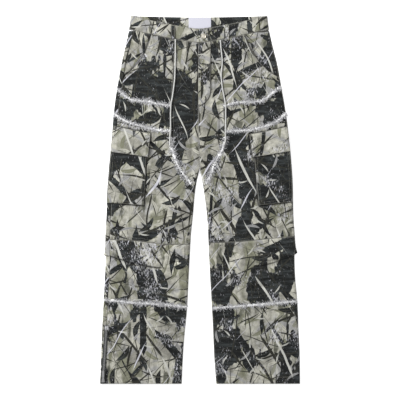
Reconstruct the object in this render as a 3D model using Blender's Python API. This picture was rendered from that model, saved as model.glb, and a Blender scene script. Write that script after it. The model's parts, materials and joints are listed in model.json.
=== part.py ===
"""Baggy cargo jeans laid flat on their back, in metres, +Z up, the waist towards +Y.

Left and right are as seen from above. The two back panels lie on the ground. The front panels lie
over them as one soft skin, cut along its seams, and what is sewn on is the same skin moved outwards.
Lengths down the garment are measured from the top of the waistband at the sides.
"""

import math
import random
from collections import namedtuple

import bmesh
import bpy
from mathutils import Vector

# Driving sizes
LENGTH = 1.066
CLOTH = 0.0014
SEAM_GAP = 0.0003
LAY_GAP = 0.0005
FULLNESS = 0.0034
EDGE_ROUND = 0.0055
BAND_HEIGHT = 0.040
FRONT_DIP = 0.038
BACK_DIP = 0.004
DIP_POWER = 1.2
CROTCH_DOWN = 0.438
CROTCH_SPREAD = 0.030
TAB_EDGE_X = -0.010
TAB_END_X = 0.020
TAB_SINK_X = -0.034
TAB_SINK_WIDTH = 0.010
TURN_LOSS = 0.0030
TURN_LOSS_DOWN = 0.90
TURN_LOSS_LENGTH = 0.16
CORD_DIAMETER = 0.0036

# What is sewn on the front
TRIM = 0.0011
FLY_EDGE_X = -0.0055
FLY_WIDTH = 0.0360
FLY_CURVE_DOWN = 0.2150
FLY_END_DOWN = 0.2580
FLY_BEND = 0.96
FACING_LAP = 0.012
FACING_SHORT = 0.0036
CARGO_RISE = 0.0032
CARGO_SLOPE = 0.030
CARGO_ROUND = 0.006
CARGO_INSET = 0.0022
FLAP_SEAM = 0.012
FLAP_OVERHANG = 0.0080
FLAP_NARROWS = 7.0
LABEL_X = -0.0005
LABEL_DOWN = 0.0045
LABEL_WIDTH = 0.0650
LABEL_HEIGHT = 0.0345
BUTTON_X = 0.0105
BUTTON_DOWN = 0.0595
BUTTON_SIDES = 20
BUTTON_PROFILE = (
    (0.0000, 0.0000),
    (0.0058, 0.0000),
    (0.0073, 0.0007),
    (0.0075, 0.0014),
    (0.0069, 0.0023),
    (0.0060, 0.0024),
    (0.0051, 0.0018),
    (0.0025, 0.0020),
    (0.0000, 0.0021),
)

# The raw seams: a strip with threads standing off it
FRAY_HALF = 0.0034
FRAY_HIGH = 0.0014
FRAY_ROOT = 0.0016
FRAY_PAIRS = 14
FRAY_REACH = (0.0030, 0.0065)
FRAY_TIP = 0.35
FRAY_TOP_SHARE = 0.7
FRAY_TIP_LEVELS = (0.35, 0.60)
FRAY_SPREADS = (0.80, 1.15)
FRAY_JITTER = 0.22
FRAY_SKEW = 0.9
FRAY_RISE_START = 0.350
FRAY_RISE_END = 0.489
FRAY_LAP = 0.002
FRAY_INSEAM_INSET = 0.008

# The hem zip on the left side seam: sections as (across, high), outlines as (across, along)
ZIP_TOP_DOWN = 0.896
ZIP_END_DOWN = 1.0645
ZIP_BEAD = 0.0017
ZIP_PROFILE = (
    (0.00015, 0.0),
    (0.0056, 0.0),
    (0.0056, 0.0010),
    (0.0026, 0.0010),
    (0.0022, ZIP_BEAD),
    (0.00015, ZIP_BEAD),
)
SLIDER_DOWN = 1.0555
PLATE_HIGH = 0.0018
PLATE = (
    (-0.0042, -0.0052),
    (0.0042, -0.0052),
    (0.0045, -0.0020),
    (0.0033, 0.0030),
    (0.0030, 0.0048),
    (-0.0030, 0.0048),
    (-0.0033, 0.0030),
    (-0.0045, -0.0020),
)
BAIL_WIDTH = 0.0016
BAIL = (
    (-0.0035, -0.0005),
    (-0.0035, 0.0022),
    (-0.0026, 0.0031),
    (0.0026, 0.0031),
    (0.0035, 0.0022),
    (0.0035, -0.0005),
    (0.0025, -0.0005),
    (0.0025, 0.0022),
    (-0.0025, 0.0022),
    (-0.0025, -0.0005),
)
HINGE_HIGH = 0.0011
TAB_THICK = 0.0012
TAB_TILT = math.radians(3.0)
EYE_WIDTH = 0.0024
EYE_START = 0.0006
EYE_LENGTH = 0.0044
TAB_OUTLINE = (
    (-0.0024, -0.0006),
    (0.0024, -0.0006),
    (0.0026, 0.0050),
    (0.0020, 0.0075),
    (0.0031, 0.0120),
    (0.0033, 0.0250),
    (0.0022, 0.0283),
    (0.0000, 0.0290),
    (-0.0022, 0.0283),
    (-0.0033, 0.0250),
    (-0.0031, 0.0120),
    (-0.0020, 0.0075),
    (-0.0026, 0.0050),
)

# The free ends of the drawstring: they leave the waistband's lower edge, lie on the cloth and pass
# over the raw seams
CORD_STEP = 2.5
LEFT_CORD = (
    (-0.0711, 0.4645, 0.0088),
    (-0.0712, 0.4440, 0.0088),
    (-0.0712, 0.4220, 0.0088),
    (-0.0713, 0.4050, 0.0088),
    (-0.0720, 0.3800, 0.0088),
    (-0.0728, 0.3560, 0.0088),
    (-0.0750, 0.3330, 0.0088),
    (-0.0778, 0.3120, 0.0088),
    (-0.0808, 0.2930, 0.0093),
    (-0.0832, 0.2810, 0.0105),
    (-0.0844, 0.2690, 0.0105),
    (-0.0851, 0.2570, 0.0092),
    (-0.0853, 0.2390, 0.0088),
    (-0.0851, 0.2240, 0.0090),
    (-0.0851, 0.2110, 0.0104),
    (-0.0856, 0.1980, 0.0106),
    (-0.0866, 0.1830, 0.0106),
    (-0.0872, 0.1690, 0.0106),
    (-0.0870, 0.1560, 0.0106),
)
RIGHT_CORD = (
    (0.0589, 0.4618, 0.0088),
    (0.0603, 0.4440, 0.0088),
    (0.0627, 0.4230, 0.0088),
    (0.0645, 0.4050, 0.0088),
    (0.0640, 0.3880, 0.0088),
    (0.0617, 0.3690, 0.0088),
    (0.0618, 0.3520, 0.0088),
    (0.0634, 0.3350, 0.0088),
    (0.0663, 0.3160, 0.0088),
    (0.0693, 0.3000, 0.0089),
    (0.0723, 0.2850, 0.0102),
    (0.0739, 0.2730, 0.0106),
    (0.0745, 0.2610, 0.0096),
    (0.0746, 0.2440, 0.0088),
    (0.0744, 0.2240, 0.0090),
    (0.0739, 0.2080, 0.0104),
    (0.0737, 0.1930, 0.0106),
    (0.0739, 0.1780, 0.0106),
    (0.0728, 0.1670, 0.0106),
    (0.0690, 0.1580, 0.0106),
)

# How far from a rounded edge its stations lie, in shares of the round
ROUND_STEPS = (0.0, 0.13, 0.5, 1.0)

# A place down to start from and the number of turns that settle a slanted edge's stations
START_DOWN = 0.3
SETTLING_TURNS = 12

Section = namedtuple("Section", "down left_outer left_inner right_inner right_outer")
SECTIONS = (
    Section(0.000, -0.2010, -0.0040, -0.0040, 0.1950),
    Section(0.041, -0.2060, -0.0040, -0.0040, 0.2000),
    Section(0.093, -0.2175, -0.0040, -0.0040, 0.2120),
    Section(0.145, -0.2290, -0.0040, -0.0040, 0.2250),
    Section(0.197, -0.2380, -0.0040, -0.0040, 0.2340),
    Section(0.249, -0.2465, -0.0045, -0.0045, 0.2435),
    Section(0.302, -0.2520, -0.0045, -0.0045, 0.2520),
    Section(0.354, -0.2560, -0.0040, -0.0040, 0.2580),
    Section(0.406, -0.2610, -0.0020, -0.0020, 0.2635),
    Section(0.438, -0.2640, -0.0010, -0.0010, 0.2660),
    Section(0.476, -0.2670, -0.0087, 0.0058, 0.2685),
    Section(0.511, -0.2695, -0.0145, 0.0116, 0.2695),
    Section(0.580, -0.2710, -0.0203, 0.0203, 0.2705),
    Section(0.632, -0.2740, -0.0260, 0.0232, 0.2740),
    Section(0.696, -0.2735, -0.0295, 0.0262, 0.2740),
    Section(0.754, -0.2755, -0.0325, 0.0290, 0.2755),
    Section(0.806, -0.2785, -0.0350, 0.0320, 0.2805),
    Section(0.858, -0.2810, -0.0380, 0.0350, 0.2840),
    Section(0.911, -0.2840, -0.0435, 0.0377, 0.2855),
    Section(0.980, -0.2865, -0.0490, 0.0406, 0.2890),
    Section(1.066, -0.2900, -0.0530, 0.0470, 0.2900),
)

# Seams across each leg, from the outer side to the inner one
Place = namedtuple("Place", "x down")
LEFT_UPPER = (
    Place(-0.241, 0.2090),
    Place(-0.216, 0.2335),
    Place(-0.194, 0.2450),
    Place(-0.142, 0.2490),
    Place(-0.125, 0.2550),
    Place(-0.084, 0.2595),
)
LEFT_LOWER = (
    Place(-0.2495, 0.2840),
    Place(-0.226, 0.3000),
    Place(-0.194, 0.3130),
    Place(-0.154, 0.3230),
    Place(-0.116, 0.3320),
    Place(-0.084, 0.3340),
)
LEFT_KNEE = (Place(-0.2755, 0.648), Place(-0.195, 0.651), Place(-0.0915, 0.6625), Place(-0.029, 0.662))
LEFT_SHIN = (Place(-0.278, 0.8225), Place(-0.200, 0.8300), Place(-0.110, 0.8360), Place(-0.036, 0.8440))
RIGHT_UPPER = (
    Place(0.068, 0.2620),
    Place(0.1015, 0.2520),
    Place(0.145, 0.2495),
    Place(0.180, 0.2470),
    Place(0.203, 0.2290),
    Place(0.236, 0.2030),
)
RIGHT_LOWER = (
    Place(0.0715, 0.3370),
    Place(0.0840, 0.3335),
    Place(0.1305, 0.3325),
    Place(0.165, 0.3270),
    Place(0.202, 0.3160),
    Place(0.2275, 0.3030),
    Place(0.2500, 0.2820),
)
RIGHT_KNEE = (Place(0.023, 0.658), Place(0.106, 0.655), Place(0.1725, 0.6485), Place(0.273, 0.6385))
RIGHT_SHIN = (Place(0.034, 0.847), Place(0.120, 0.8405), Place(0.190, 0.8350), Place(0.283, 0.8260))

# The seam between the centre front and the side pieces, from the waistband to the inseam
LEFT_RISE = (
    Place(-0.0710, 0.0600),
    Place(-0.0840, 0.2595),
    Place(-0.0840, 0.3540),
    Place(-0.0820, 0.3830),
    Place(-0.0770, 0.4000),
    Place(-0.0700, 0.4220),
    Place(-0.0595, 0.4420),
    Place(-0.0485, 0.4580),
    Place(-0.0360, 0.4740),
    Place(-0.0265, 0.4880),
    Place(-0.0170, 0.5030),
    Place(-0.0152, 0.5060),
)
RIGHT_RISE = (
    Place(0.0590, 0.0600),
    Place(0.0680, 0.2620),
    Place(0.0735, 0.3595),
    Place(0.0650, 0.3855),
    Place(0.0545, 0.4060),
    Place(0.0450, 0.4220),
    Place(0.0385, 0.4380),
    Place(0.0345, 0.4520),
    Place(0.0280, 0.4680),
    Place(0.0205, 0.4820),
    Place(0.0145, 0.4920),
    Place(0.0124, 0.4970),
)

# The slanted mouths of the hand pockets, from the waistband to the side
LEFT_MOUTH = (
    Place(-0.1405, 0.0600),
    Place(-0.1590, 0.1075),
    Place(-0.1860, 0.1450),
    Place(-0.2170, 0.1740),
)
RIGHT_MOUTH = (
    Place(0.1250, 0.0500),
    Place(0.1450, 0.0960),
    Place(0.1710, 0.1335),
    Place(0.1970, 0.1595),
    Place(0.2270, 0.1780),
)

# The tuck sewn across each knee: where it lies and how far it stands up there, from 0 to 1
Tuck = namedtuple("Tuck", "x down share")
LEFT_TUCK = (
    Tuck(-0.2760, 0.6930, 1.00),
    Tuck(-0.2380, 0.7020, 0.80),
    Tuck(-0.2150, 0.7150, 0.35),
    Tuck(-0.1860, 0.7170, 0.90),
    Tuck(-0.1390, 0.7250, 0.80),
    Tuck(-0.1070, 0.7310, 0.20),
    Tuck(-0.0300, 0.7350, 0.00),
)
RIGHT_TUCK = (
    Tuck(0.0270, 0.7200, 0.00),
    Tuck(0.1500, 0.7120, 0.15),
    Tuck(0.1890, 0.7085, 0.50),
    Tuck(0.2220, 0.7047, 0.80),
    Tuck(0.2430, 0.6990, 0.90),
    Tuck(0.2800, 0.6890, 1.00),
)
TUCK_RISE = 0.0040
TUCK_REACH = 0.022
TUCK_STEP = 0.0030

# The largest soft folds of the front: a ridge, or a trough where the rise is below zero
Fold = namedtuple("Fold", "x down end_x end_down width rise")
FOLDS = (
    Fold(-0.050, 0.500, -0.130, 0.620, 0.020, 0.0026),
    Fold(-0.080, 0.560, -0.170, 0.640, 0.018, -0.0016),
    Fold(0.045, 0.500, 0.110, 0.620, 0.020, 0.0026),
    Fold(0.060, 0.560, 0.160, 0.640, 0.018, -0.0016),
    Fold(-0.225, 0.740, -0.240, 0.820, 0.018, 0.0022),
    Fold(-0.160, 0.745, -0.110, 0.825, 0.020, 0.0020),
    Fold(0.225, 0.730, 0.235, 0.815, 0.018, 0.0024),
    Fold(0.150, 0.720, 0.110, 0.820, 0.020, 0.0018),
    Fold(-0.205, 0.870, -0.225, 1.060, 0.020, 0.0024),
    Fold(-0.125, 0.870, -0.115, 1.060, 0.022, 0.0026),
    Fold(0.110, 0.870, 0.105, 1.060, 0.022, 0.0026),
    Fold(0.205, 0.870, 0.225, 1.060, 0.020, 0.0024),
)

# The lengths down at which the back panels have their stations
BACK_STATIONS = (
    (0.072, 0.100, 0.128, 0.156, 0.184, 0.212, 0.240, 0.268, 0.296, 0.324, 0.352, 0.380, 0.408)
    + (CROTCH_DOWN, 0.448, 0.458, 0.470, 0.490, 0.515, 0.545, 0.575, 0.605, 0.635, 0.660)
    + (0.675, 0.6865, 0.6928, 0.6960, 0.715, 0.740, 0.770, 0.805, 0.835, 0.865, 0.900)
    + (0.935, 0.970, 1.005, 1.040, LENGTH)
)

# The rows of the centre front that aren't at a place of its curved seam
CENTRE_ROWS = (0.11, 0.16, 0.21, 0.305)
CENTRE_END = {"left": 0.5030, "right": 0.4920}

# Rows of the thigh below the last place of the curved seam, and of the hip from its mouth's end
THIGH_ROWS = (0.026, 0.058, 0.090, 0.122)
MOUTH_ROWS = (0.012, 0.007, 0.003, 0.0001, -0.0006, -0.014)
LAP = 0.010

# Each cargo pocket and its flap: lengths down at the inner and outer sides, then the pocket's inner
# edge across at the top and at the foot
Cargo = namedtuple("Cargo", "top_in top_out bottom_in bottom_out foot_in foot_out edge_top edge_foot")
CARGOS = {
    "left": Cargo(0.3400, 0.3170, 0.4090, 0.3940, 0.5510, 0.5420, -0.1510, -0.1620),
    "right": Cargo(0.3430, 0.3190, 0.4110, 0.3920, 0.5520, 0.5390, 0.1500, 0.1700),
}
FLAP_ROWS = (0.0, 0.06, 0.12, 0.18, 0.45, 0.72, 1.0)
FLY_ROWS = (0.0, 0.2, 0.4, 0.6, 0.76, 0.84, 0.91, 0.96, 1.0)

Leg = namedtuple("Leg", "name side outer inner rise mouth tuck jut turn")
LEFT = Leg("left", -1, "left_outer", "left_inner", LEFT_RISE, LEFT_MOUTH, LEFT_TUCK, 0.0050, 0.0110)
RIGHT = Leg("right", 1, "right_outer", "right_inner", RIGHT_RISE, RIGHT_MOUTH, RIGHT_TUCK, 0.0095, 0.0)

Finish = namedtuple("Finish", "name red green blue roughness metallic")
PRINTED_TWILL = Finish("printed_twill", 0.20, 0.20, 0.16, 0.90, 0.0)
RAW_EDGE = Finish("raw_edge", 0.72, 0.70, 0.66, 0.95, 0.0)
CORD_COTTON = Finish("cord_cotton", 0.70, 0.67, 0.59, 0.92, 0.0)
LABEL_SATIN = Finish("label_satin", 0.82, 0.82, 0.87, 0.60, 0.0)
BUTTON_METAL = Finish("button_metal", 0.78, 0.72, 0.56, 0.35, 1.0)
ZIP_METAL = Finish("zip_metal", 0.66, 0.66, 0.68, 0.30, 1.0)
ZIP_TAPE = Finish("zip_tape", 0.10, 0.10, 0.10, 0.85, 0.0)


def ease(share):
    """A soft step from 0 to 1."""
    share = min(max(share, 0.0), 1.0)
    return share * share * (3 - 2 * share)


def smooth(places, at):
    """The value at a length, on a curve through (length, value) pairs that never overshoots them."""
    places = sorted(places)
    at = min(max(at, places[0][0]), places[-1][0])
    slopes = [(b[1] - a[1]) / (b[0] - a[0]) for a, b in zip(places, places[1:])]
    tangents = [slopes[0]]
    for before, after in zip(slopes, slopes[1:]):
        flat = before * after <= 0
        tangents.append(0.0 if flat else 2 * before * after / (before + after))
    tangents.append(slopes[-1])
    index = 0
    while index < len(slopes) - 1 and at > places[index + 1][0]:
        index += 1
    step = places[index + 1][0] - places[index][0]
    u = (at - places[index][0]) / step
    leave = u * (1 - u) ** 2 * step * tangents[index]
    arrive = u * u * (1 - u) * step * tangents[index + 1]
    return places[index][1] + (places[index + 1][1] - places[index][1]) * ease(u) + leave - arrive


def straight(places, at):
    """The value at a length, on straight runs through (length, value) pairs."""
    places = sorted(places)
    if at <= places[0][0]:
        return places[0][1]
    for a, b in zip(places, places[1:]):
        if at <= b[0]:
            return a[1] + (b[1] - a[1]) * (at - a[0]) / (b[0] - a[0])
    return places[-1][1]


def side_at(column, down):
    """How far across an edge of the garment lies, at a length down it."""
    return smooth([(row.down, getattr(row, column)) for row in SECTIONS], down)


def seam_at(seam, x):
    """How far down a cross seam lies, at a place across."""
    return smooth([(place.x, place.down) for place in seam], x)


def rise_at(leg, down):
    """How far across the seam beside the centre front lies."""
    return straight([(place.down, place.x) for place in leg.rise], down)


def tuck_down(leg, x):
    return smooth([(row.x, row.down) for row in leg.tuck], x)


def tuck_share(leg, x):
    return smooth([(row.x, row.share) for row in leg.tuck], x)


def split(down):
    """0 where the two legs are one cloth, 1 where each has its own inner edge."""
    return ease((down - CROTCH_DOWN) / CROTCH_SPREAD)


def outer_at(leg, down):
    """The outline of the leg's outer side, with the cloth that juts out over the knee tuck."""
    above = tuck_down(leg, leg.tuck[0].x if leg.side < 0 else leg.tuck[-1].x) - down
    jut = leg.jut * math.exp(-above / TUCK_REACH) if above >= 0 else 0.0
    return side_at(leg.outer, down) + leg.side * jut


def outer_face(leg, down):
    """Where the inner face of the cloth turns down at the outer side."""
    return outer_at(leg, down) - leg.side * CLOTH


def inner_face(leg, down):
    """Where the inner face of the cloth turns down at the inner side, or meets the other half."""
    gap = max(SEAM_GAP / 2, CLOTH * split(down))
    return side_at(leg.inner, down) + leg.side * gap


def side_seam(leg, down):
    """The left side seam lies on top, because the back panel turns round that side."""
    if not leg.turn:
        return outer_face(leg, down)
    turn = leg.turn - TURN_LOSS * ease((down - TURN_LOSS_DOWN) / TURN_LOSS_LENGTH)
    return side_at(leg.outer, down) - leg.side * (CLOTH + turn)


def folds(leg, x, down):
    """How much higher or lower than its plain level the front lies, from its folds and its tuck."""
    height = 0.0
    for fold in FOLDS:
        along = Vector((fold.end_x - fold.x, fold.end_down - fold.down))
        offset = Vector((x - fold.x, down - fold.down))
        share = offset.dot(along) / along.length_squared
        if not 0 < share < 1:
            continue
        across = (offset - along * share).length / fold.width
        height += fold.rise * math.exp(-across * across) * (1 - (2 * share - 1) ** 4)
    above = tuck_down(leg, x) - down
    if above >= 0:
        height += TUCK_RISE * tuck_share(leg, x) * math.exp(-above / TUCK_REACH)
    return height


def skin(leg, x, down, out):
    """The point that lies a distance out from the inner face of the front cloth."""
    from_outer = leg.side * (outer_face(leg, down) - x)
    from_inner = leg.side * (x - inner_face(leg, down))
    lean_out = min(max(1 - from_outer / EDGE_ROUND, 0.0), 1.0)
    lean_in = min(max(1 - from_inner / EDGE_ROUND, 0.0), 1.0) * split(down)
    lean = leg.side * (lean_out - lean_in)
    up = math.sqrt(1 - lean * lean)
    level = CLOTH + SEAM_GAP + up * (FULLNESS + folds(leg, x, down))
    return Vector((x + out * lean, LENGTH / 2 - down, level + out * up))


def spaced(start, end, middle, start_round=0.0, end_round=0.0):
    """Stations from start to end, closer together over a round at either end."""
    way = 1 if end > start else -1
    near = [start + way * share * start_round for share in ROUND_STEPS] if start_round else [start]
    far = [end - way * share * end_round for share in ROUND_STEPS] if end_round else [end]
    inside = [near[-1] + (far[-1] - near[-1]) * i / middle for i in range(1, middle)]
    return near + inside + far[::-1]


def finish_of(finish):
    """The Principled material of one finish, made once."""
    found = bpy.data.materials.get(finish.name)
    if found:
        return found
    material = bpy.data.materials.new(finish.name)
    material.use_nodes = True
    shader = material.node_tree.nodes["Principled BSDF"]
    shader.inputs["Base Color"].default_value = (finish.red, finish.green, finish.blue, 1.0)
    shader.inputs["Roughness"].default_value = finish.roughness
    shader.inputs["Metallic"].default_value = finish.metallic
    return material


def finished(name, body, finish, parent=None):
    """A named object of a closed mesh, with its faces out and its round parts smooth."""
    bmesh.ops.recalc_face_normals(body, faces=body.faces)
    mesh = bpy.data.meshes.new(name)
    body.to_mesh(mesh)
    body.free()
    mesh.shade_smooth()
    mesh.set_sharp_from_angle(angle=math.radians(40))
    mesh.materials.append(finish_of(finish))
    item = bpy.data.objects.new(name, mesh)
    bpy.context.scene.collection.objects.link(item)
    item.parent = parent
    return item


def wall(name, inside, outside, finish):
    """A sheet of cloth between two grids of points, closed along its edges."""
    body = bmesh.new()
    low = [[body.verts.new(point) for point in row] for row in inside]
    high = [[body.verts.new(point) for point in row] for row in outside]
    rows = len(low) - 1
    columns = len(low[0]) - 1
    for r in range(rows):
        for c in range(columns):
            body.faces.new((low[r][c], low[r][c + 1], low[r + 1][c + 1], low[r + 1][c]))
            body.faces.new((high[r][c], high[r + 1][c], high[r + 1][c + 1], high[r][c + 1]))
    for c in range(columns):
        body.faces.new((low[0][c], high[0][c], high[0][c + 1], low[0][c + 1]))
        body.faces.new((low[rows][c], low[rows][c + 1], high[rows][c + 1], high[rows][c]))
    for r in range(rows):
        body.faces.new((low[r][0], low[r + 1][0], high[r + 1][0], high[r][0]))
        body.faces.new((low[r][columns], high[r][columns], high[r + 1][columns], low[r + 1][columns]))
    return finished(name, body, finish)


def swept(name, sections, finish):
    """A closed strip through a row of sections, each with the same number of points."""
    body = bmesh.new()
    rings = [[body.verts.new(point) for point in section] for section in sections]
    count = len(rings[0])
    for first, second in zip(rings, rings[1:]):
        for i in range(count):
            body.faces.new((first[i], first[(i + 1) % count], second[(i + 1) % count], second[i]))
    body.faces.new(rings[0])
    body.faces.new(rings[-1][::-1])
    return finished(name, body, finish)


def cut_piece(name, leg, start, end, lines, rows, columns, rounds=(0.0, 0.0), lift=None, thick=CLOTH):
    """A piece of the front between two edges and across a stack of lines.

    start and end give the place across at a length down, and each line gives the length down at a
    place across. rows holds, for each pair of lines, the shares at which the cloth is stationed.
    """

    def across(down):
        return spaced(start(down), end(down), columns, *rounds)

    crossings = []
    for line in lines:
        downs = []
        for column in range(len(across(START_DOWN))):
            down = line(start(START_DOWN))
            for _ in range(SETTLING_TURNS):
                down = line(across(down)[column])
            downs.append(down)
        crossings.append(downs)
    inside = []
    outside = []
    for (first, second), shares in zip(zip(crossings, crossings[1:]), rows):
        for share in shares:
            low = []
            high = []
            for column in range(len(first)):
                down = first[column] + (second[column] - first[column]) * share
                x = across(down)[column]
                out = lift(x, down) if lift else 0.0
                low.append(skin(leg, x, down, out))
                high.append(skin(leg, x, down, out + thick))
            inside.append(low)
            outside.append(high)
    return wall(name, inside, outside, PRINTED_TWILL)


def even(count, last=True):
    """Even shares from 0 to 1."""
    return [i / count for i in range(count + 1 if last else count)]


def clear_scene():
    for item in list(bpy.data.objects):
        bpy.data.objects.remove(item, do_unlink=True)


def waist_share(x):
    """0 at the middle of the waist, 1 at either side."""
    middle = 0.5 * (SECTIONS[0].left_outer + SECTIONS[0].right_outer)
    half = 0.5 * (SECTIONS[0].right_outer - SECTIONS[0].left_outer)
    return min(abs(x - middle) / half, 1.0)


def front_top(x):
    return FRONT_DIP * (1 - waist_share(x) ** DIP_POWER)


def front_bottom(x):
    return front_top(x) + BAND_HEIGHT


def back_top(x):
    return BACK_DIP * (1 - waist_share(x) ** 2)


def floor_point(x, down, out):
    """A point of the layer that lies on the ground, a distance out from its inner face."""
    return Vector((x, LENGTH / 2 - down, CLOTH - out))


def make_back_waistband():
    inside = []
    outside = []
    for share in even(2):
        low = []
        high = []
        for i in range(17):
            x = SECTIONS[0].left_outer + (SECTIONS[0].right_outer - SECTIONS[0].left_outer) * i / 16
            down = back_top(x) + share * BAND_HEIGHT
            x += (side_at("left_outer", down) - SECTIONS[0].left_outer) * (1 - i / 16)
            x += (side_at("right_outer", down) - SECTIONS[0].right_outer) * i / 16
            low.append(floor_point(x, down, 0.0))
            high.append(floor_point(x, down, CLOTH))
        inside.append(low)
        outside.append(high)
    wall("waistband_back", inside, outside, PRINTED_TWILL)


def make_back_panel(leg, downs):
    """The back of a leg on the ground. The left one turns up round the side to its seam on top."""
    inside = []
    outside = []
    for down in downs:
        middle = side_at(leg.inner, down) + leg.side * SEAM_GAP / 2
        edge = outer_at(leg, down)
        corner = edge - leg.side * (CLOTH + SEAM_GAP)
        end = corner if leg.turn else edge
        low = [floor_point(x, down, 0.0) for x in spaced(middle, end, 4)]
        high = [floor_point(x, down, CLOTH) for x in spaced(middle, end, 4)]
        if leg.turn:
            face = outer_face(leg, down)
            seam = side_seam(leg, down) + leg.side * SEAM_GAP / 2
            slant = CLOTH * math.sqrt(0.5)
            bend = Vector((face, LENGTH / 2 - down, CLOTH + SEAM_GAP / 3))
            low.append(bend)
            high.append(bend + Vector((leg.side * slant, 0.0, -slant)))
            for x in spaced(face, seam, 2, EDGE_ROUND, 0.0):
                low.append(skin(leg, x, down, 0.0))
                high.append(skin(leg, x, down, CLOTH))
        inside.append(low)
        outside.append(high)
    wall("back_panel_" + leg.name, inside, outside, PRINTED_TWILL)


def make_backs():
    top = BACK_DIP + BAND_HEIGHT + SEAM_GAP
    for leg in (LEFT, RIGHT):
        make_back_panel(leg, (top, *BACK_STATIONS))


def make_front_waistband():
    def tuck_under(x, down):
        """The left half goes under the right one where they lap."""
        return -(CLOTH + SEAM_GAP) * ease((x - TAB_SINK_X) / TAB_SINK_WIDTH)

    cut_piece(
        "waistband_front_left",
        LEFT,
        lambda down: outer_face(LEFT, down),
        lambda down: TAB_END_X,
        (front_top, front_bottom),
        (even(2),),
        12,
        (EDGE_ROUND, 0.0),
        tuck_under,
    )
    cut_piece(
        "waistband_front_right",
        RIGHT,
        lambda down: TAB_EDGE_X,
        lambda down: outer_face(RIGHT, down),
        (front_top, front_bottom),
        (even(2),),
        12,
        (0.0, EDGE_ROUND),
    )


def below(line, gap=SEAM_GAP / 2):
    return lambda x: line(x) + gap


def above(line, gap=SEAM_GAP / 2):
    return lambda x: line(x) - gap


def mouth_at(leg, down):
    """The front edge of the hip piece: the pocket's mouth, then the side seam."""
    mouth = smooth([(place.down, place.x) for place in leg.mouth], down)
    seam = side_seam(leg, down) - leg.side * SEAM_GAP / 2
    return mouth if leg.side * (seam - mouth) > 0 and down < leg.mouth[-1].down else seam


def shares_of(marks, top, end):
    """The rows of a piece from its top to its end, through lengths down, as shares of its height."""
    return [0.0] + [(mark - top) / (end - top) for mark in sorted(marks)] + [1.0]


def make_leg_front(leg, upper, lower, knee, shin):
    """The five pieces from the waistband to the hem beside the centre front."""

    def seam_side(down):
        gap = SEAM_GAP / 2 if leg.turn else 0.0
        return side_seam(leg, down) - leg.side * gap

    def rise_side(down):
        rise = rise_at(leg, down) + leg.side * SEAM_GAP / 2
        return rise if down < leg.rise[-1].down - 0.0001 else inner_face(leg, down)

    def hem(_x):
        return LENGTH

    def tuck(x):
        return tuck_down(leg, x)

    def seam(places):
        return lambda x: seam_at(places, x)

    outer_round = 0.0 if leg.turn else EDGE_ROUND
    rounds = (outer_round, EDGE_ROUND)
    thigh_top = seam_at(lower, leg.rise[2].x)
    thigh_end = seam_at(knee, side_at(leg.inner, knee[0].down))
    marks = [place.down for place in leg.rise[2:] if place.down > thigh_top + LAP]
    marks += [marks[-1] + row for row in THIGH_ROWS]
    thigh_rows = shares_of(marks, thigh_top, thigh_end)
    mouth_end = leg.mouth[-1].down
    marks = [place.down for place in leg.mouth[1:-1]]
    marks += [mouth_end - row for row in MOUTH_ROWS]
    side = upper[0] if leg.side < 0 else upper[-1]
    hip_end = seam_at(upper, side_seam(leg, side.down))
    hip_rows = shares_of(marks, front_bottom(leg.mouth[0].x), hip_end)
    pieces = (
        ("hip_front_", lambda down: mouth_at(leg, down), (below(front_bottom), above(seam(upper))), (hip_rows,)),
        ("thigh_band_", seam_side, (below(seam(upper)), above(seam(lower))), (even(3),)),
        ("thigh_front_", seam_side, (below(seam(lower)), above(seam(knee))), (thigh_rows,)),
        (
            "knee_front_",
            seam_side,
            (below(seam(knee)), above(tuck, TUCK_STEP / 2), below(tuck, TUCK_STEP / 2), above(seam(shin))),
            (even(3, False), (0.0,), even(5)),
        ),
        ("shin_front_", seam_side, (below(seam(shin)), hem), (even(7),)),
    )
    for name, start, lines, rows in pieces:
        cut_piece(name + leg.name, leg, start, rise_side, lines, rows, 8, rounds)


def make_centre_front(leg):
    """The front piece beside the fly, from the waistband to the inseam below the crotch."""
    end_down = CENTRE_END[leg.name]
    top = front_bottom(leg.rise[0].x) + SEAM_GAP / 2
    marks = [place.down for place in leg.rise[1:] if place.down < end_down - SEAM_GAP]
    rows = shares_of((*marks, *CENTRE_ROWS), top, end_down)
    cut_piece(
        "centre_front_" + leg.name,
        leg,
        lambda down: rise_at(leg, down) - leg.side * SEAM_GAP / 2,
        lambda down: inner_face(leg, down),
        (below(front_bottom), lambda x: end_down),
        (rows,),
        5,
    )


def make_fly():
    """The placket whose edge laps over the centre seam and whose foot curves back to it."""

    def free_side(down):
        share = min(max((down - FLY_CURVE_DOWN) / (FLY_END_DOWN - FLY_CURVE_DOWN), 0.0), FLY_BEND)
        return FLY_EDGE_X + FLY_WIDTH * math.sqrt(1 - share * share)

    cut_piece(
        "fly_placket",
        RIGHT,
        lambda down: FLY_EDGE_X,
        free_side,
        (below(front_bottom, LAY_GAP), lambda x: FLY_END_DOWN),
        (FLY_ROWS,),
        3,
        lift=lambda x, down: CLOTH + LAY_GAP,
        thick=TRIM,
    )


def make_pocket_facing(leg):
    """The cloth that shows in the pocket's mouth, a layer lower than the hip piece."""
    rounds = (0.0 if leg.turn else EDGE_ROUND, 0.0)
    cut_piece(
        "pocket_facing_" + leg.name,
        leg,
        lambda down: side_seam(leg, down) - leg.side * (SEAM_GAP / 2 if leg.turn else 0.0),
        lambda down: smooth([(p.down, p.x) for p in leg.mouth], down) - leg.side * FACING_LAP,
        (below(front_bottom), lambda x: leg.mouth[-1].down - FACING_SHORT),
        (even(5),),
        3,
        rounds,
        lift=lambda x, down: -(CLOTH + SEAM_GAP),
    )


def rounded(distance, radius):
    """The height, from 0 to 1, of a round that starts upright at distance 0."""
    short = 1 - min(max(distance / radius, 0.0), 1.0)
    return math.sqrt(1 - short * short)


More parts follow.
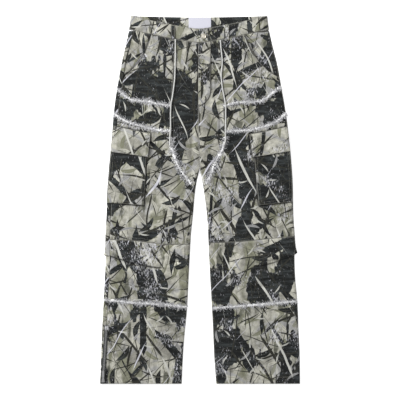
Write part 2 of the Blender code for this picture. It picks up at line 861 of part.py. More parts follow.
def make_cargo(leg):
    """A bellows pocket sewn down at its inner side and foot, with its flap over the mouth."""
    cargo = CARGOS[leg.name]
    outer_x = side_at(leg.outer, cargo.bottom_out)

    def sloped(at_in, at_out):
        return lambda x: straight([(cargo.edge_top, at_in), (outer_x, at_out)], x)

    def outside(down):
        return outer_face(leg, down) - leg.side * CARGO_INSET

    def body_in(down):
        return straight([(cargo.top_in, cargo.edge_top), (cargo.foot_in, cargo.edge_foot)], down)

    def flap_in(down):
        overhang = FLAP_OVERHANG * (1 - FLAP_NARROWS * (down - cargo.top_in))
        return body_in(down) - leg.side * overhang

    foot = sloped(cargo.foot_in, cargo.foot_out)
    flap_top = sloped(cargo.top_in, cargo.top_out)

    def fullness(x, down):
        return CARGO_RISE * ease(leg.side * (outer_face(leg, down) - x) / CARGO_SLOPE)

    def body_lift(x, down):
        from_side = rounded(leg.side * (x - body_in(down)), CARGO_ROUND)
        return CLOTH + LAY_GAP + fullness(x, down) * from_side * rounded(foot(x) - down, CARGO_ROUND)

    def flap_lift(x, down):
        over = (fullness(x, down) + CLOTH + LAY_GAP) * ease((down - flap_top(x)) / FLAP_SEAM)
        return CLOTH + LAY_GAP + over

    length = cargo.foot_in - cargo.top_in
    foot_rows = [1 - share * CARGO_ROUND / length for share in ROUND_STEPS]
    cut_piece(
        "cargo_pocket_" + leg.name,
        leg,
        outside,
        body_in,
        (below(flap_top, FLAP_SEAM), foot),
        (even(6, False) + foot_rows[::-1],),
        4,
        (EDGE_ROUND, CARGO_ROUND),
        body_lift,
    )
    cut_piece(
        "cargo_flap_" + leg.name,
        leg,
        outside,
        flap_in,
        (flap_top, sloped(cargo.bottom_in, cargo.bottom_out)),
        (FLAP_ROWS,),
        5,
        (EDGE_ROUND, 0.0),
        flap_lift,
    )


def make_fray(name, leg, line, length, stations=()):
    """A raw edge: a narrow strip along a seam, with loose threads that stand off both its sides.

    line gives the place across and the length down at a share of the seam and a distance across it.
    stations are the shares, past the threads, at which the strip bends over the side.
    """
    chance = random.Random(name)
    root = FRAY_ROOT / length
    last = stations[0] - root if stations else 1.0
    shares = [0.0]
    for k in range(FRAY_PAIRS):
        start = last * (k + 0.5 + chance.uniform(-FRAY_JITTER, FRAY_JITTER)) / FRAY_PAIRS - root / 2
        shares += [start, start + root]
    shares += [*stations, 1.0]
    low_out = CLOTH + LAY_GAP

    def point(share, across, high):
        x, down = line(share, across)
        return skin(leg, x, down, low_out + high)

    body = bmesh.new()
    rings = []
    for share in shares:
        half = FRAY_HALF * chance.uniform(*FRAY_SPREADS)
        top = half * FRAY_TOP_SHARE
        corners = ((-half, 0.0), (half, 0.0), (top, FRAY_HIGH), (-top, FRAY_HIGH))
        rings.append([body.verts.new(point(share, across, high)) for across, high in corners])
    threads = []
    for number, (first, second) in enumerate(zip(rings, rings[1:])):
        for i in range(4):
            j = (i + 1) % 4
            face = body.faces.new((first[i], first[j], second[j], second[i]))
            if number % 2 and number < 2 * FRAY_PAIRS and i in (1, 3):
                threads.append((face, 0.5 * (shares[number] + shares[number + 1]), 2 - i))
    body.faces.new(rings[0])
    body.faces.new(rings[-1][::-1])
    for face, share, side in threads:
        beyond = chance.uniform(*FRAY_REACH)
        grown = bmesh.ops.extrude_discrete_faces(body, faces=[face])["faces"][0]
        corners = list(grown.verts)
        middle = sum((corner.co for corner in corners), Vector()) / 4
        skewed = share + chance.uniform(-FRAY_SKEW, FRAY_SKEW) * beyond / length
        high = FRAY_HIGH * chance.uniform(*FRAY_TIP_LEVELS)
        tip = point(min(max(skewed, root), last), side * (FRAY_HALF + beyond), high)
        for corner in corners:
            corner.co = tip + (corner.co - middle) * FRAY_TIP
    finished(name, body, RAW_EDGE)


def make_cross_fray(name, leg, seam, inner):
    """The raw edge of a seam across a leg, from an inner end to the outer side."""
    inset = EDGE_ROUND * ROUND_STEPS[2]
    side_down = seam[0].down if leg.side < 0 else seam[-1].down
    span = leg.side * (outer_face(leg, side_down) - inner) - inset

    def line(share, across):
        x = inner + leg.side * span * share
        slope = (seam_at(seam, x + FRAY_HALF) - seam_at(seam, x - FRAY_HALF)) / (2 * FRAY_HALF)
        down = seam_at(seam, x) + across * math.hypot(1.0, slope)
        return inner + (outer_face(leg, down) - leg.side * inset - inner) * share, down

    make_fray(name, leg, line, span, (1 - (EDGE_ROUND - inset) / span,))


def make_rise_fray(leg):
    """The raw edge of the curved seam beside the centre front, down to the crotch."""
    places = [place for place in leg.rise if FRAY_RISE_START < place.down < FRAY_RISE_END]
    marks = [0.0]
    for first, second in zip(places, places[1:]):
        marks.append(marks[-1] + math.hypot(second.x - first.x, second.down - first.down))
    length = marks[-1]
    across_places = [(mark, place.x) for mark, place in zip(marks, places)]
    down_places = [(mark, place.down) for mark, place in zip(marks, places)]

    def line(share, across):
        mark = share * length
        ahead = mark + FRAY_HALF
        behind = mark - FRAY_HALF
        way = Vector(
            (
                smooth(across_places, ahead) - smooth(across_places, behind),
                smooth(down_places, ahead) - smooth(down_places, behind),
            )
        ).normalized()
        return smooth(across_places, mark) - way.y * across, smooth(down_places, mark) + way.x * across

    make_fray("fray_rise_" + leg.name, leg, line, length)


def make_frays(leg, upper, lower, shin):
    """The four raw seams of a leg."""
    for label, seam in (("upper", upper), ("lower", lower)):
        end = seam[-1] if leg.side < 0 else seam[0]
        inner = rise_at(leg, end.down) - leg.side * FRAY_LAP
        make_cross_fray("fray_%s_%s" % (label, leg.name), leg, seam, inner)
    end = shin[-1] if leg.side < 0 else shin[0]
    inner = side_at(leg.inner, end.down) + leg.side * FRAY_INSEAM_INSET
    make_cross_fray("fray_shin_" + leg.name, leg, shin, inner)
    make_rise_fray(leg)


def make_tube(name, route, diameter, finish):
    """A round cord along a smooth curve through the points of its route."""
    points = [Vector(point) for point in route]
    ends = [points[0] * 2 - points[1]] + points + [points[-1] * 2 - points[-2]]
    fine = []
    for a, b, c, d in zip(ends, ends[1:], ends[2:], ends[3:]):
        for i in range(12):
            u = i / 12
            curve = 2 * b + (c - a) * u + (2 * a - 5 * b + 4 * c - d) * u**2
            fine.append(0.5 * (curve + (3 * b - a - 3 * c + d) * u**3))
    fine.append(points[-1])
    spacing = CORD_STEP * diameter
    kept = [fine[0]]
    for point in fine:
        if (point - kept[-1]).length >= spacing:
            kept.append(point)
    kept[-1] = fine[-1]
    data = bpy.data.curves.new(name, "CURVE")
    data.dimensions = "3D"
    data.bevel_depth = diameter / 2
    data.bevel_resolution = 2
    data.use_fill_caps = True
    spline = data.splines.new("POLY")
    spline.points.add(len(kept) - 1)
    for place, point in zip(spline.points, kept):
        place.co = (*point, 1.0)
    data.materials.append(finish_of(finish))
    bpy.context.scene.collection.objects.link(bpy.data.objects.new(name, data))


def make_label():
    """A blank woven label on the inner face of the back waistband."""
    sections = []
    for x in (LABEL_X - LABEL_WIDTH / 2, LABEL_X + LABEL_WIDTH / 2):
        top = LENGTH / 2 - LABEL_DOWN
        low = CLOTH + SEAM_GAP
        sections.append(
            (
                Vector((x, top, low)),
                Vector((x, top - LABEL_HEIGHT, low)),
                Vector((x, top - LABEL_HEIGHT, low + TRIM)),
                Vector((x, top, low + TRIM)),
            )
        )
    swept("label_blank", sections, LABEL_SATIN)


def make_button():
    """A shank button: a turned cap with a raised rim and a low crown."""
    body = bmesh.new()
    profile = [body.verts.new((radius, 0.0, height)) for radius, height in BUTTON_PROFILE]
    edges = [body.edges.new(pair) for pair in zip(profile, profile[1:])]
    bmesh.ops.spin(
        body,
        geom=profile + edges,
        cent=(0.0, 0.0, 0.0),
        axis=(0.0, 0.0, 1.0),
        angle=math.tau,
        steps=BUTTON_SIDES,
        use_merge=True,
    )
    bmesh.ops.remove_doubles(body, verts=body.verts, dist=0.00001)
    button = finished("waist_button", body, BUTTON_METAL)
    button.location = skin(RIGHT, BUTTON_X, BUTTON_DOWN, CLOTH + SEAM_GAP)


def make_zip_tapes():
    """The two tapes of the hem zip, each with the bead of its teeth along the seam."""
    for label, side in (("back", -1), ("front", 1)):
        sections = []
        for i in range(13):
            down = ZIP_TOP_DOWN + (ZIP_END_DOWN - ZIP_TOP_DOWN) * i / 12
            x = side_seam(LEFT, down)
            out = CLOTH + LAY_GAP
            section = []
            for across, high in ZIP_PROFILE:
                section.append(skin(LEFT, x + side * across, down, out + high))
            sections.append(section)
        swept("zip_tape_" + label, sections, ZIP_TAPE)


def make_zip_slider():
    """The slider's upper plate with its bail, and the pull tab that swings on the bail."""
    x = side_seam(LEFT, SLIDER_DOWN)
    seat = skin(LEFT, x, SLIDER_DOWN, CLOTH + LAY_GAP + ZIP_BEAD + SEAM_GAP)
    plate = [(Vector((across, along, 0.0)), Vector((across, along, PLATE_HIGH))) for across, along in PLATE]
    body = bmesh.new()
    low = [body.verts.new(pair[0]) for pair in plate]
    high = [body.verts.new(pair[1]) for pair in plate]
    body.faces.new(low)
    body.faces.new(high)
    for i in range(len(plate)):
        j = (i + 1) % len(plate)
        body.faces.new((low[i], low[j], high[j], high[i]))
    slider = finished("zip_slider", body, ZIP_METAL)
    slider.location = seat

    sections = []
    for across in (-BAIL_WIDTH / 2, BAIL_WIDTH / 2):
        sections.append([Vector((across, along, PLATE_HIGH + high)) for along, high in BAIL])
    bail = swept("zip_bail", sections, ZIP_METAL)
    bail.location = seat
    bail.hide_render = True
    bail.display_type = "WIRE"
    join = slider.modifiers.new("bail", "BOOLEAN")
    join.operation = "UNION"
    join.object = bail

    sections = []
    for high in (-TAB_THICK / 2, TAB_THICK / 2):
        sections.append([Vector((across, along, high)) for across, along in TAB_OUTLINE])
    tab = swept("zip_pull_tab", sections, ZIP_METAL)
    tab.location = seat + Vector((0.0, 0.0, PLATE_HIGH + HINGE_HIGH))
    tab.rotation_euler.x = -TAB_TILT
    eye = bpy.data.objects.new("zip_tab_eye", bpy.data.meshes.new("zip_tab_eye"))
    body = bmesh.new()
    bmesh.ops.create_cube(body, size=1.0)
    for corner in body.verts:
        corner.co.x *= EYE_WIDTH
        corner.co.y = EYE_START + (corner.co.y + 0.5) * EYE_LENGTH
        corner.co.z *= 3 * TAB_THICK
    body.to_mesh(eye.data)
    body.free()
    bpy.context.scene.collection.objects.link(eye)
    eye.parent = tab
    eye.hide_render = True
    eye.display_type = "WIRE"
    cut = tab.modifiers.new("eye", "BOOLEAN")
    cut.operation = "DIFFERENCE"
    cut.object = eye


def main():
    clear_scene()
    make_back_waistband()
    make_label()
    make_backs()
    make_front_waistband()
    make_button()
    make_leg_front(LEFT, LEFT_UPPER, LEFT_LOWER, LEFT_KNEE, LEFT_SHIN)
    make_leg_front(RIGHT, RIGHT_UPPER, RIGHT_LOWER, RIGHT_KNEE, RIGHT_SHIN)
    make_fly()
    for leg in (LEFT, RIGHT):
        make_centre_front(leg)
        make_pocket_facing(leg)
        make_cargo(leg)
    make_frays(LEFT, LEFT_UPPER, LEFT_LOWER, LEFT_SHIN)
    make_frays(RIGHT, RIGHT_UPPER, RIGHT_LOWER, RIGHT_SHIN)
    make_tube("drawstring_left", LEFT_CORD, CORD_DIAMETER, CORD_COTTON)
    make_tube("drawstring_right", RIGHT_CORD, CORD_DIAMETER, CORD_COTTON)
    make_zip_tapes()
    make_zip_slider()


main()
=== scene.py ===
"""The looks of a pair of baggy cargo jeans that lie flat on their back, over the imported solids.

Left and right are as seen from above, and lengths are in metres.
"""

import json
import math
from functools import cache, partial

import bmesh
import bpy
import numpy as np
from mathutils import Vector, geometry, noise
from mathutils.bvhtree import BVHTree
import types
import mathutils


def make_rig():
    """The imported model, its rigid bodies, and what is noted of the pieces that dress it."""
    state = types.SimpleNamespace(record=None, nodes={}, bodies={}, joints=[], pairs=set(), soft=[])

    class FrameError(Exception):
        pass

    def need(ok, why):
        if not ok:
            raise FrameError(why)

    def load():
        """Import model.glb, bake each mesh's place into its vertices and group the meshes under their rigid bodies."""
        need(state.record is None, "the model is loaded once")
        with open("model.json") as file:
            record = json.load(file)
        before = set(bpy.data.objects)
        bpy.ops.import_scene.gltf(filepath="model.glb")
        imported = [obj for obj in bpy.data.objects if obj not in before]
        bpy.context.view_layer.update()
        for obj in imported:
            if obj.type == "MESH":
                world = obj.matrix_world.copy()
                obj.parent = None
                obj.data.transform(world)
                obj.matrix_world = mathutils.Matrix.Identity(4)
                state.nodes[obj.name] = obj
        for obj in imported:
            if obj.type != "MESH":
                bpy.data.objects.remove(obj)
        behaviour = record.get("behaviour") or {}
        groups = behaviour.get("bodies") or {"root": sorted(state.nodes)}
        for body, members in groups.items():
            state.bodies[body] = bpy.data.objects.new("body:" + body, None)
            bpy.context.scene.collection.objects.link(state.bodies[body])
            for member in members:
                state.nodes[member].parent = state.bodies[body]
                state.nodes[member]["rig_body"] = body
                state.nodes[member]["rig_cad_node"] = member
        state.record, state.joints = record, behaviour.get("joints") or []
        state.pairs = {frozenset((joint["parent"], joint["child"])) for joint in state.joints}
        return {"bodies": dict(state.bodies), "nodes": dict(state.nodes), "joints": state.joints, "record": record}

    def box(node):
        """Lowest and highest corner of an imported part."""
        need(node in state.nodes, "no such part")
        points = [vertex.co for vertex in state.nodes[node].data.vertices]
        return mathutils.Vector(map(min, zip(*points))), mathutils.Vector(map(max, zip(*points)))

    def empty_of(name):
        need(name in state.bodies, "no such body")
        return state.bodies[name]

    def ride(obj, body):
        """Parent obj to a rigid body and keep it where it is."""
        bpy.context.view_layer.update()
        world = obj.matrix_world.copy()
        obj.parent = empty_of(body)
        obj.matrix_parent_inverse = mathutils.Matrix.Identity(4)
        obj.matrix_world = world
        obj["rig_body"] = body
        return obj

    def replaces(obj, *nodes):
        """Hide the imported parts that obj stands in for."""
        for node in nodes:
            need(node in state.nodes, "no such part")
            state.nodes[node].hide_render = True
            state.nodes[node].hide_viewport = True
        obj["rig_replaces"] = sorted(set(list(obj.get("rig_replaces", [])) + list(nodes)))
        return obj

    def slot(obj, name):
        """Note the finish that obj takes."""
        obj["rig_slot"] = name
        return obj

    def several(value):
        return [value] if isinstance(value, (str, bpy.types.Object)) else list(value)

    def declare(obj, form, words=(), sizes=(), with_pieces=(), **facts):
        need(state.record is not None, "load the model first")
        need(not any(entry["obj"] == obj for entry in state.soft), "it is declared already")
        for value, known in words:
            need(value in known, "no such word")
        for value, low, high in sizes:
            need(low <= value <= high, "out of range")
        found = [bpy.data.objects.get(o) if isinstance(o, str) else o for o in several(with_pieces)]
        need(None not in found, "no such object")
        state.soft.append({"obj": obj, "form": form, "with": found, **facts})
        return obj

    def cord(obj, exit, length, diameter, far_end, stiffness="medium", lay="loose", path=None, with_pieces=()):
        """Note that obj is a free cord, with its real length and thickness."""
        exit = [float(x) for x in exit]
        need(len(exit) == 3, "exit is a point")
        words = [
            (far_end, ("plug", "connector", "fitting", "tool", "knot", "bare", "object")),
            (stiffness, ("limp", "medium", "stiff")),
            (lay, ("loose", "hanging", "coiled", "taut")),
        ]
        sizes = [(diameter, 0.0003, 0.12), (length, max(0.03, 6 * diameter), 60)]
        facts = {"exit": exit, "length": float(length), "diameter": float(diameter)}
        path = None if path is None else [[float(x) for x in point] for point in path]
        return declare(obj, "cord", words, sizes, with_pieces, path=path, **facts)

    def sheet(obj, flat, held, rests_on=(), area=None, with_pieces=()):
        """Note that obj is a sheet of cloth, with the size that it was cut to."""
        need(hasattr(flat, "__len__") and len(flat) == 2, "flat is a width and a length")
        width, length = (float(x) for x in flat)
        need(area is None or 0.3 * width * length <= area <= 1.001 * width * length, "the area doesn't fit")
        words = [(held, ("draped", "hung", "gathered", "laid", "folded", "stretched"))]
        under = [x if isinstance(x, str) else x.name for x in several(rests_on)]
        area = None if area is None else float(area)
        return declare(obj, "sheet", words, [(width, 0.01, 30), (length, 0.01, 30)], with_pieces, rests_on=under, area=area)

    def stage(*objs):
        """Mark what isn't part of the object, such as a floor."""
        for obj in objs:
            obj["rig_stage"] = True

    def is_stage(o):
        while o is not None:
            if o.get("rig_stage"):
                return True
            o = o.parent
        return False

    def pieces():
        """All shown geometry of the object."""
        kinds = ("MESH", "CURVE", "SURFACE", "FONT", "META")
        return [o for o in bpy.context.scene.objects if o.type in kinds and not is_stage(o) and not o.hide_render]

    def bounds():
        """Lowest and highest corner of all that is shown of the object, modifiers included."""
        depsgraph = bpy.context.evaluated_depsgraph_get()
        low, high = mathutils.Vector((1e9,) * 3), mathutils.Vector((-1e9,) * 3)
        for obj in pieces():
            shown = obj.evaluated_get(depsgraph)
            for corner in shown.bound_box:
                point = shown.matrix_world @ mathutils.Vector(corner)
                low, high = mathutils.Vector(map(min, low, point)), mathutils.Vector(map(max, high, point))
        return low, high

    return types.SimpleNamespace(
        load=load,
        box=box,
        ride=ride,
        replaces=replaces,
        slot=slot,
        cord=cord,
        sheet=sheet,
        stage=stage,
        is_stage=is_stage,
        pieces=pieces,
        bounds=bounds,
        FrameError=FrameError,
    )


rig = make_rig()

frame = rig.load()
solid_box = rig.bounds()
scene = bpy.context.scene

# ------------------------------------------------------------
# The view: the jeans lie on a plain pale floor under soft studio light and are seen from straight
# above, with one pixel of the 400-pixel frame to 2.9 mm. A long lens keeps the outline true.
FRAME_WIDTH = 400 * 0.0029
CAMERA_HEIGHT = 3.6
LENGTH = 1.066


def feed(socket, value):
    """Link a socket to the one that feeds it, or set its value. A plain colour needs no alpha."""
    if isinstance(value, bpy.types.NodeSocket):
        socket.id_data.links.new(value, socket)
    elif socket.type == "RGBA":
        socket.default_value = (*value, 1)
    else:
        socket.default_value = value


def add(tree, kind, inputs=None, **settings):
    """A node with its settings and its inputs, each a value or the socket that feeds it."""
    node = tree.nodes.new(kind if "Node" in kind else "ShaderNode" + kind)
    for key, value in settings.items():
        setattr(node, key, value)
    for key, value in (inputs or {}).items():
        feed(node.inputs[key], value)
    return node


def blended(share, first, second):
    """Two colours mixed by a share."""
    return add(share.id_data, "Mix", {0: share, 6: first, 7: second}, data_type="RGBA").outputs[2]


def mist(place, scale, detail=2.0, rough=0.5, seed=None):
    """A soft noise from 0 to 1, of which a seed gives another layout."""
    inputs = {"Vector": place, "Scale": scale, "Detail": detail, "Roughness": rough}
    if seed is None:
        return add(place.id_data, "TexNoise", inputs).outputs[0]
    return add(place.id_data, "TexNoise", {**inputs, "W": seed}, noise_dimensions="4D").outputs[0]


def material(name, **values):
    """A new material with values set on its shader: itself, its tree and the place on its piece."""
    made = bpy.data.materials.new(name)
    made.use_nodes = True
    tree = made.node_tree
    for key, value in values.items():
        feed(tree.nodes["Principled BSDF"].inputs[key.replace("_", " ")], value)
    return made, tree, add(tree, "TexCoord").outputs["Object"]


def finish(tree, color, height=None, strength=0.0, distance=0.0, roughness=None):
    """Feed a material's shader with a colour, a bump of some height and a roughness."""
    inputs = tree.nodes["Principled BSDF"].inputs
    feed(inputs["Base Color"], color)
    if height is not None:
        made = add(tree, "Bump", {"Height": height, "Strength": strength, "Distance": distance})
        feed(inputs["Normal"], made.outputs[0])
    if roughness is not None:
        feed(inputs["Roughness"], roughness)


def put(name, data):
    """A new object in the scene."""
    item = bpy.data.objects.new(name, data)
    scene.collection.objects.link(item)
    return item


floor_paint, tree, position = material(
    "floor_paint", Roughness=0.9, Emission_Color=(1.0, 1.0, 1.0), Emission_Strength=0.55
)
finish(tree, blended(mist(position, 3.0), (0.915, 0.915, 0.915), (0.93, 0.93, 0.93)))
bpy.ops.mesh.primitive_plane_add(size=8.0)
floor = bpy.context.object
floor.name = "floor"
floor.data.materials.append(floor_paint)
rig.stage(floor)

camera = put("camera_above", bpy.data.cameras.new("camera_above"))
camera.data.lens = camera.data.sensor_width * CAMERA_HEIGHT / FRAME_WIDTH
camera.data.clip_end = 20.0
camera.location = (0.0, -0.0006, CAMERA_HEIGHT)
scene.camera = camera

for name, place, size, power in (
    ("softbox_key", (-2.3, 1.9, 1.8), 0.9, 175.0),
    ("softbox_fill", (1.9, -0.9, 2.4), 1.8, 22.0),
):
    light = put(name, bpy.data.lights.new(name, "AREA"))
    light.data.size = size
    light.data.energy = power
    light.location = place
    light.rotation_euler = (-Vector(place)).to_track_quat("-Z", "Y").to_euler()
scene.world = bpy.data.worlds.new("studio")
scene.world.use_nodes = True
background = scene.world.node_tree.nodes["Background"].inputs
feed(background["Color"], (1.0, 1.0, 1.0))
feed(background["Strength"], 0.40)
scene.view_settings.view_transform = "Standard"


# ------------------------------------------------------------
# The drawstring's two free ends: braided cotton cord, 3.6 mm thick. Each leaves the waistband's
# lower edge, lies loosely on the cloth, passes over the raw seams and ends bare.
CORD_DIAMETER = 0.0036
CORD_RING = 0.0012
CORD_SIDES = 12
CURVE_STEPS = 24
BRAIDS_ROUND = 4.0
BRAIDS_A_METRE = 620.0
CORD_ROUTES = {
    "left": (
        (-0.0711, 0.4645, 0.0088), (-0.0712, 0.4440, 0.0088), (-0.0712, 0.4220, 0.0088),
        (-0.0713, 0.4050, 0.0088), (-0.0720, 0.3800, 0.0088), (-0.0728, 0.3560, 0.0088),
        (-0.0750, 0.3330, 0.0088), (-0.0778, 0.3120, 0.0088), (-0.0808, 0.2930, 0.0093),
        (-0.0832, 0.2810, 0.0105), (-0.0844, 0.2690, 0.0105), (-0.0851, 0.2570, 0.0092),
        (-0.0853, 0.2390, 0.0088), (-0.0851, 0.2240, 0.0090), (-0.0851, 0.2110, 0.0104),
        (-0.0856, 0.1980, 0.0106), (-0.0866, 0.1830, 0.0106), (-0.0872, 0.1690, 0.0106),
        (-0.0870, 0.1560, 0.0106),
    ),
    "right": (
        (0.0589, 0.4618, 0.0088), (0.0603, 0.4440, 0.0088), (0.0627, 0.4230, 0.0088),
        (0.0645, 0.4050, 0.0088), (0.0640, 0.3880, 0.0088), (0.0617, 0.3690, 0.0088),
        (0.0618, 0.3520, 0.0088), (0.0634, 0.3350, 0.0088), (0.0663, 0.3160, 0.0088),
        (0.0693, 0.3000, 0.0089), (0.0723, 0.2850, 0.0102), (0.0739, 0.2730, 0.0106),
        (0.0745, 0.2610, 0.0096), (0.0746, 0.2440, 0.0088), (0.0744, 0.2240, 0.0090),
        (0.0739, 0.2080, 0.0104), (0.0737, 0.1930, 0.0106), (0.0739, 0.1780, 0.0106),
        (0.0728, 0.1670, 0.0106), (0.0690, 0.1580, 0.0106),
    ),
}


def run_along(line):
    """How far along a line each of its points lies."""
    return np.concatenate([[0.0], np.cumsum(np.linalg.norm(np.diff(line, axis=0), axis=1))])


def respaced(line, spacing):
    """A line with its points at an even spacing, and its length."""
    marks = run_along(line)
    wanted = np.linspace(0.0, marks[-1], max(int(marks[-1] / spacing), 2) + 1)
    return np.stack([np.interp(wanted, marks, part) for part in line.T], 1), marks[-1]


def curved(route, spacing):
    """Points at an even spacing on a smooth curve through a route, and its length."""
    points = [Vector(point) for point in route]
    ends = [points[0] * 2 - points[1]] + points + [points[-1] * 2 - points[-2]]
    fine = []
    for a, b, c, d in zip(ends, ends[1:], ends[2:], ends[3:]):
        for u in np.arange(CURVE_STEPS) / CURVE_STEPS:
            curve = 2 * b + (c - a) * u + (2 * a - 5 * b + 4 * c - d) * u**2
            fine.append(tuple(0.5 * (curve + (3 * b - a - 3 * c + d) * u**3)))
    return respaced(np.array(fine + [tuple(points[-1])]), spacing)


def made_object(name, body):
    """The object that a bmesh gives."""
    mesh = bpy.data.meshes.new(name)
    body.to_mesh(mesh)
    body.free()
    return put(name, mesh)


def tube(name, line, radii, sides):
    """A closed tube round a line, with a UV map of turns round it and metres along it."""
    body = bmesh.new()
    uv = body.loops.layers.uv.new("UVMap")
    ways = [Vector(way).normalized() for way in np.gradient(line, axis=0)]
    rings = []
    for point, way, radius in zip(line, ways, radii):
        side = way.cross(Vector((0, 0, 1))).normalized()
        up = side.cross(way)
        turns = [math.tau * k / sides for k in range(sides)]
        spokes = [side * math.cos(turn) + up * math.sin(turn) for turn in turns]
        rings.append([body.verts.new(Vector(point) + spoke * radius) for spoke in spokes])
    along = run_along(line)
    for i, (first, second) in enumerate(zip(rings, rings[1:])):
        for k in range(sides):
            j = (k + 1) % sides
            face = body.faces.new((first[k], first[j], second[j], second[k]))
            places = ((k, i), (k + 1, i), (k + 1, i + 1), (k, i + 1))
            for loop, (turn, ring) in zip(face.loops, places):
                loop[uv].uv = (turn / sides, along[ring])
    for end, way in ((0, -1), (-1, 1)):
        centre = sum((corner.co for corner in rings[end]), Vector()) / sides
        tip = body.verts.new(centre + ways[end] * (radii[0] * 0.35 * way))
        for k in range(sides):
            body.faces.new((rings[end][k], rings[end][(k + 1) % sides], tip))
    for face in body.faces:
        face.smooth = True
    bmesh.ops.recalc_face_normals(body, faces=body.faces)
    return made_object(name, body)


def calc(operation, *terms, clamp=False):
    """One sum in a node tree."""
    tree = next(term.id_data for term in terms if isinstance(term, bpy.types.NodeSocket))
    return add(tree, "Math", dict(enumerate(terms)), operation=operation, use_clamp=clamp).outputs[0]


times = partial(calc, "MULTIPLY")
plus = partial(calc, "ADD")
minus = partial(calc, "SUBTRACT")
zigzag = partial(calc, "PINGPONG")


def own_uv(tree):
    """A piece's own UV map."""
    return add(tree, "UVMap", uv_map="UVMap").outputs[0]


def split(vector):
    """The three numbers of a vector."""
    return add(vector.id_data, "SeparateXYZ", {0: vector}).outputs


def ramp(value, low, high, start=0.0, end=1.0):
    """A value spread softly from low..high to start..end."""
    inputs = {"Value": value, "From Min": low, "From Max": high, "To Min": start, "To Max": end}
    return add(value.id_data, "MapRange", inputs, interpolation_type="SMOOTHSTEP").outputs[0]


def of_jeans(piece, slot, *nodes):
    """Say that a piece belongs to the jeans, which finish it has and which solid it stands for."""
    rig.ride(piece, "jeans")
    if nodes:
        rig.replaces(piece, *nodes)
    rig.slot(piece, slot)


# The braid: two sets of strands that wind opposite ways and pass over and under each other.
cord_cotton, tree, position = material("cord_cotton", Roughness=0.92, Sheen_Weight=0.2)
around, along, _ = split(own_uv(tree))
along = times(along, BRAIDS_A_METRE)
around = times(around, BRAIDS_ROUND)
strands = calc("MAXIMUM", zigzag(plus(around, along), 0.5), zigzag(minus(around, along), 0.5))
height = plus(strands, times(mist(position, 900.0, 3.0), 0.35))
# Painted shade: the cord is darker where the braid lies low between its strands.
tone = blended(ramp(height, 0.25, 0.75), (0.34, 0.34, 0.33), (0.68, 0.68, 0.66))
finish(tree, tone, height, 0.8, 0.0005)

for side, route in CORD_ROUTES.items():
    line, length = curved(route, CORD_RING)
    radii = CORD_DIAMETER / 2 * (1 + 0.04 * np.sin(np.arange(len(line)) * 1.9))
    cord = tube("drawstring_end_" + side, line, radii, CORD_SIDES)
    cord.data.materials.append(cord_cotton)
    of_jeans(cord, "cord_cotton", "drawstring_" + side)
    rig.cord(
        cord,
        exit=route[0],
        length=float(length),
        diameter=CORD_DIAMETER,
        far_end="bare",
        stiffness="limp",
        lay="loose",
        path=[tuple(float(value) for value in point) for point in line[::3]],
    )


# ------------------------------------------------------------
# The cloth: heavy cotton twill with a printed camouflage of a plain, generic kind, made of reed
# stems, willow-shaped blades, ragged patches and flecks. Every cut piece gets its own part of it.

def node_group(kind, name, inputs, outputs):
    """A new node group with named sockets: its inputs, its outputs and its tree."""
    group = bpy.data.node_groups.new(name, kind + "NodeTree")
    for direction, sockets in (("INPUT", inputs), ("OUTPUT", outputs)):
        for item in sockets.split():
            label, _, what = item.partition(":")
            what = "NodeSocket" + (what or "Float")
            group.interface.new_socket(label, in_out=direction, socket_type=what)
    return group.nodes.new("NodeGroupInput").outputs, group.nodes.new("NodeGroupOutput").inputs, group


def use_group(tree, group, **inputs):
    """The outputs of a group placed in a tree with its own values."""
    return add(tree, "Group", inputs, node_tree=group).outputs


def vectors(operation, first, second):
    """A sum of two vectors, or a vector or colour times a number."""
    key = "Scale" if operation == "SCALE" else 1
    return add(first.id_data, "VectorMath", {0: first, key: second}, operation=operation).outputs[0]


def turned(place, angle):
    """A place on the print, turned."""
    inputs = {"Vector": place, "Angle": angle}
    return add(place.id_data, "VectorRotate", inputs, rotation_type="Z_AXIS").outputs[0]


# Stems: nearly parallel strokes that bend, swell, thin out and stop.
given, out, stems = node_group("Shader", "reed_stems", "Place:Vector Angle Spacing Width Bend Seed", "Mask")
spot = turned(given["Place"], given["Angle"])
sideways, lengthways, _ = split(spot)
swing = times(minus(mist(spot, 5.5, 1.0, seed=given["Seed"]), 0.5), given["Bend"])
across = calc("DIVIDE", plus(sideways, swing), given["Spacing"])
ticket = calc("MULTIPLY_ADD", given["Seed"], 13.7, calc("FLOOR", across))
chance = add(stems, "TexWhiteNoise", {"W": ticket}, noise_dimensions="1D").outputs["Color"]
draws = add(stems, "SeparateColor", {0: chance}).outputs
centre = calc("MULTIPLY_ADD", draws[0], 0.5, 0.25)
distance = times(calc("ABSOLUTE", minus(calc("FRACT", across), centre)), given["Spacing"])
run = calc("MULTIPLY_ADD", lengthways, 6.5, times(draws[1], 91.0))
run = add(stems, "TexNoise", {"W": run, "Scale": 1.0, "Detail": 1.0}, noise_dimensions="1D").outputs[0]
width = times(times(given["Width"], ramp(run, 0.44, 0.66)), plus(draws[2], 0.4))
ragged = times(minus(mist(given["Place"], 210.0), 0.5), times(width, 0.5))
feed(out["Mask"], times(minus(plus(width, ragged), distance), 1800.0, clamp=True))

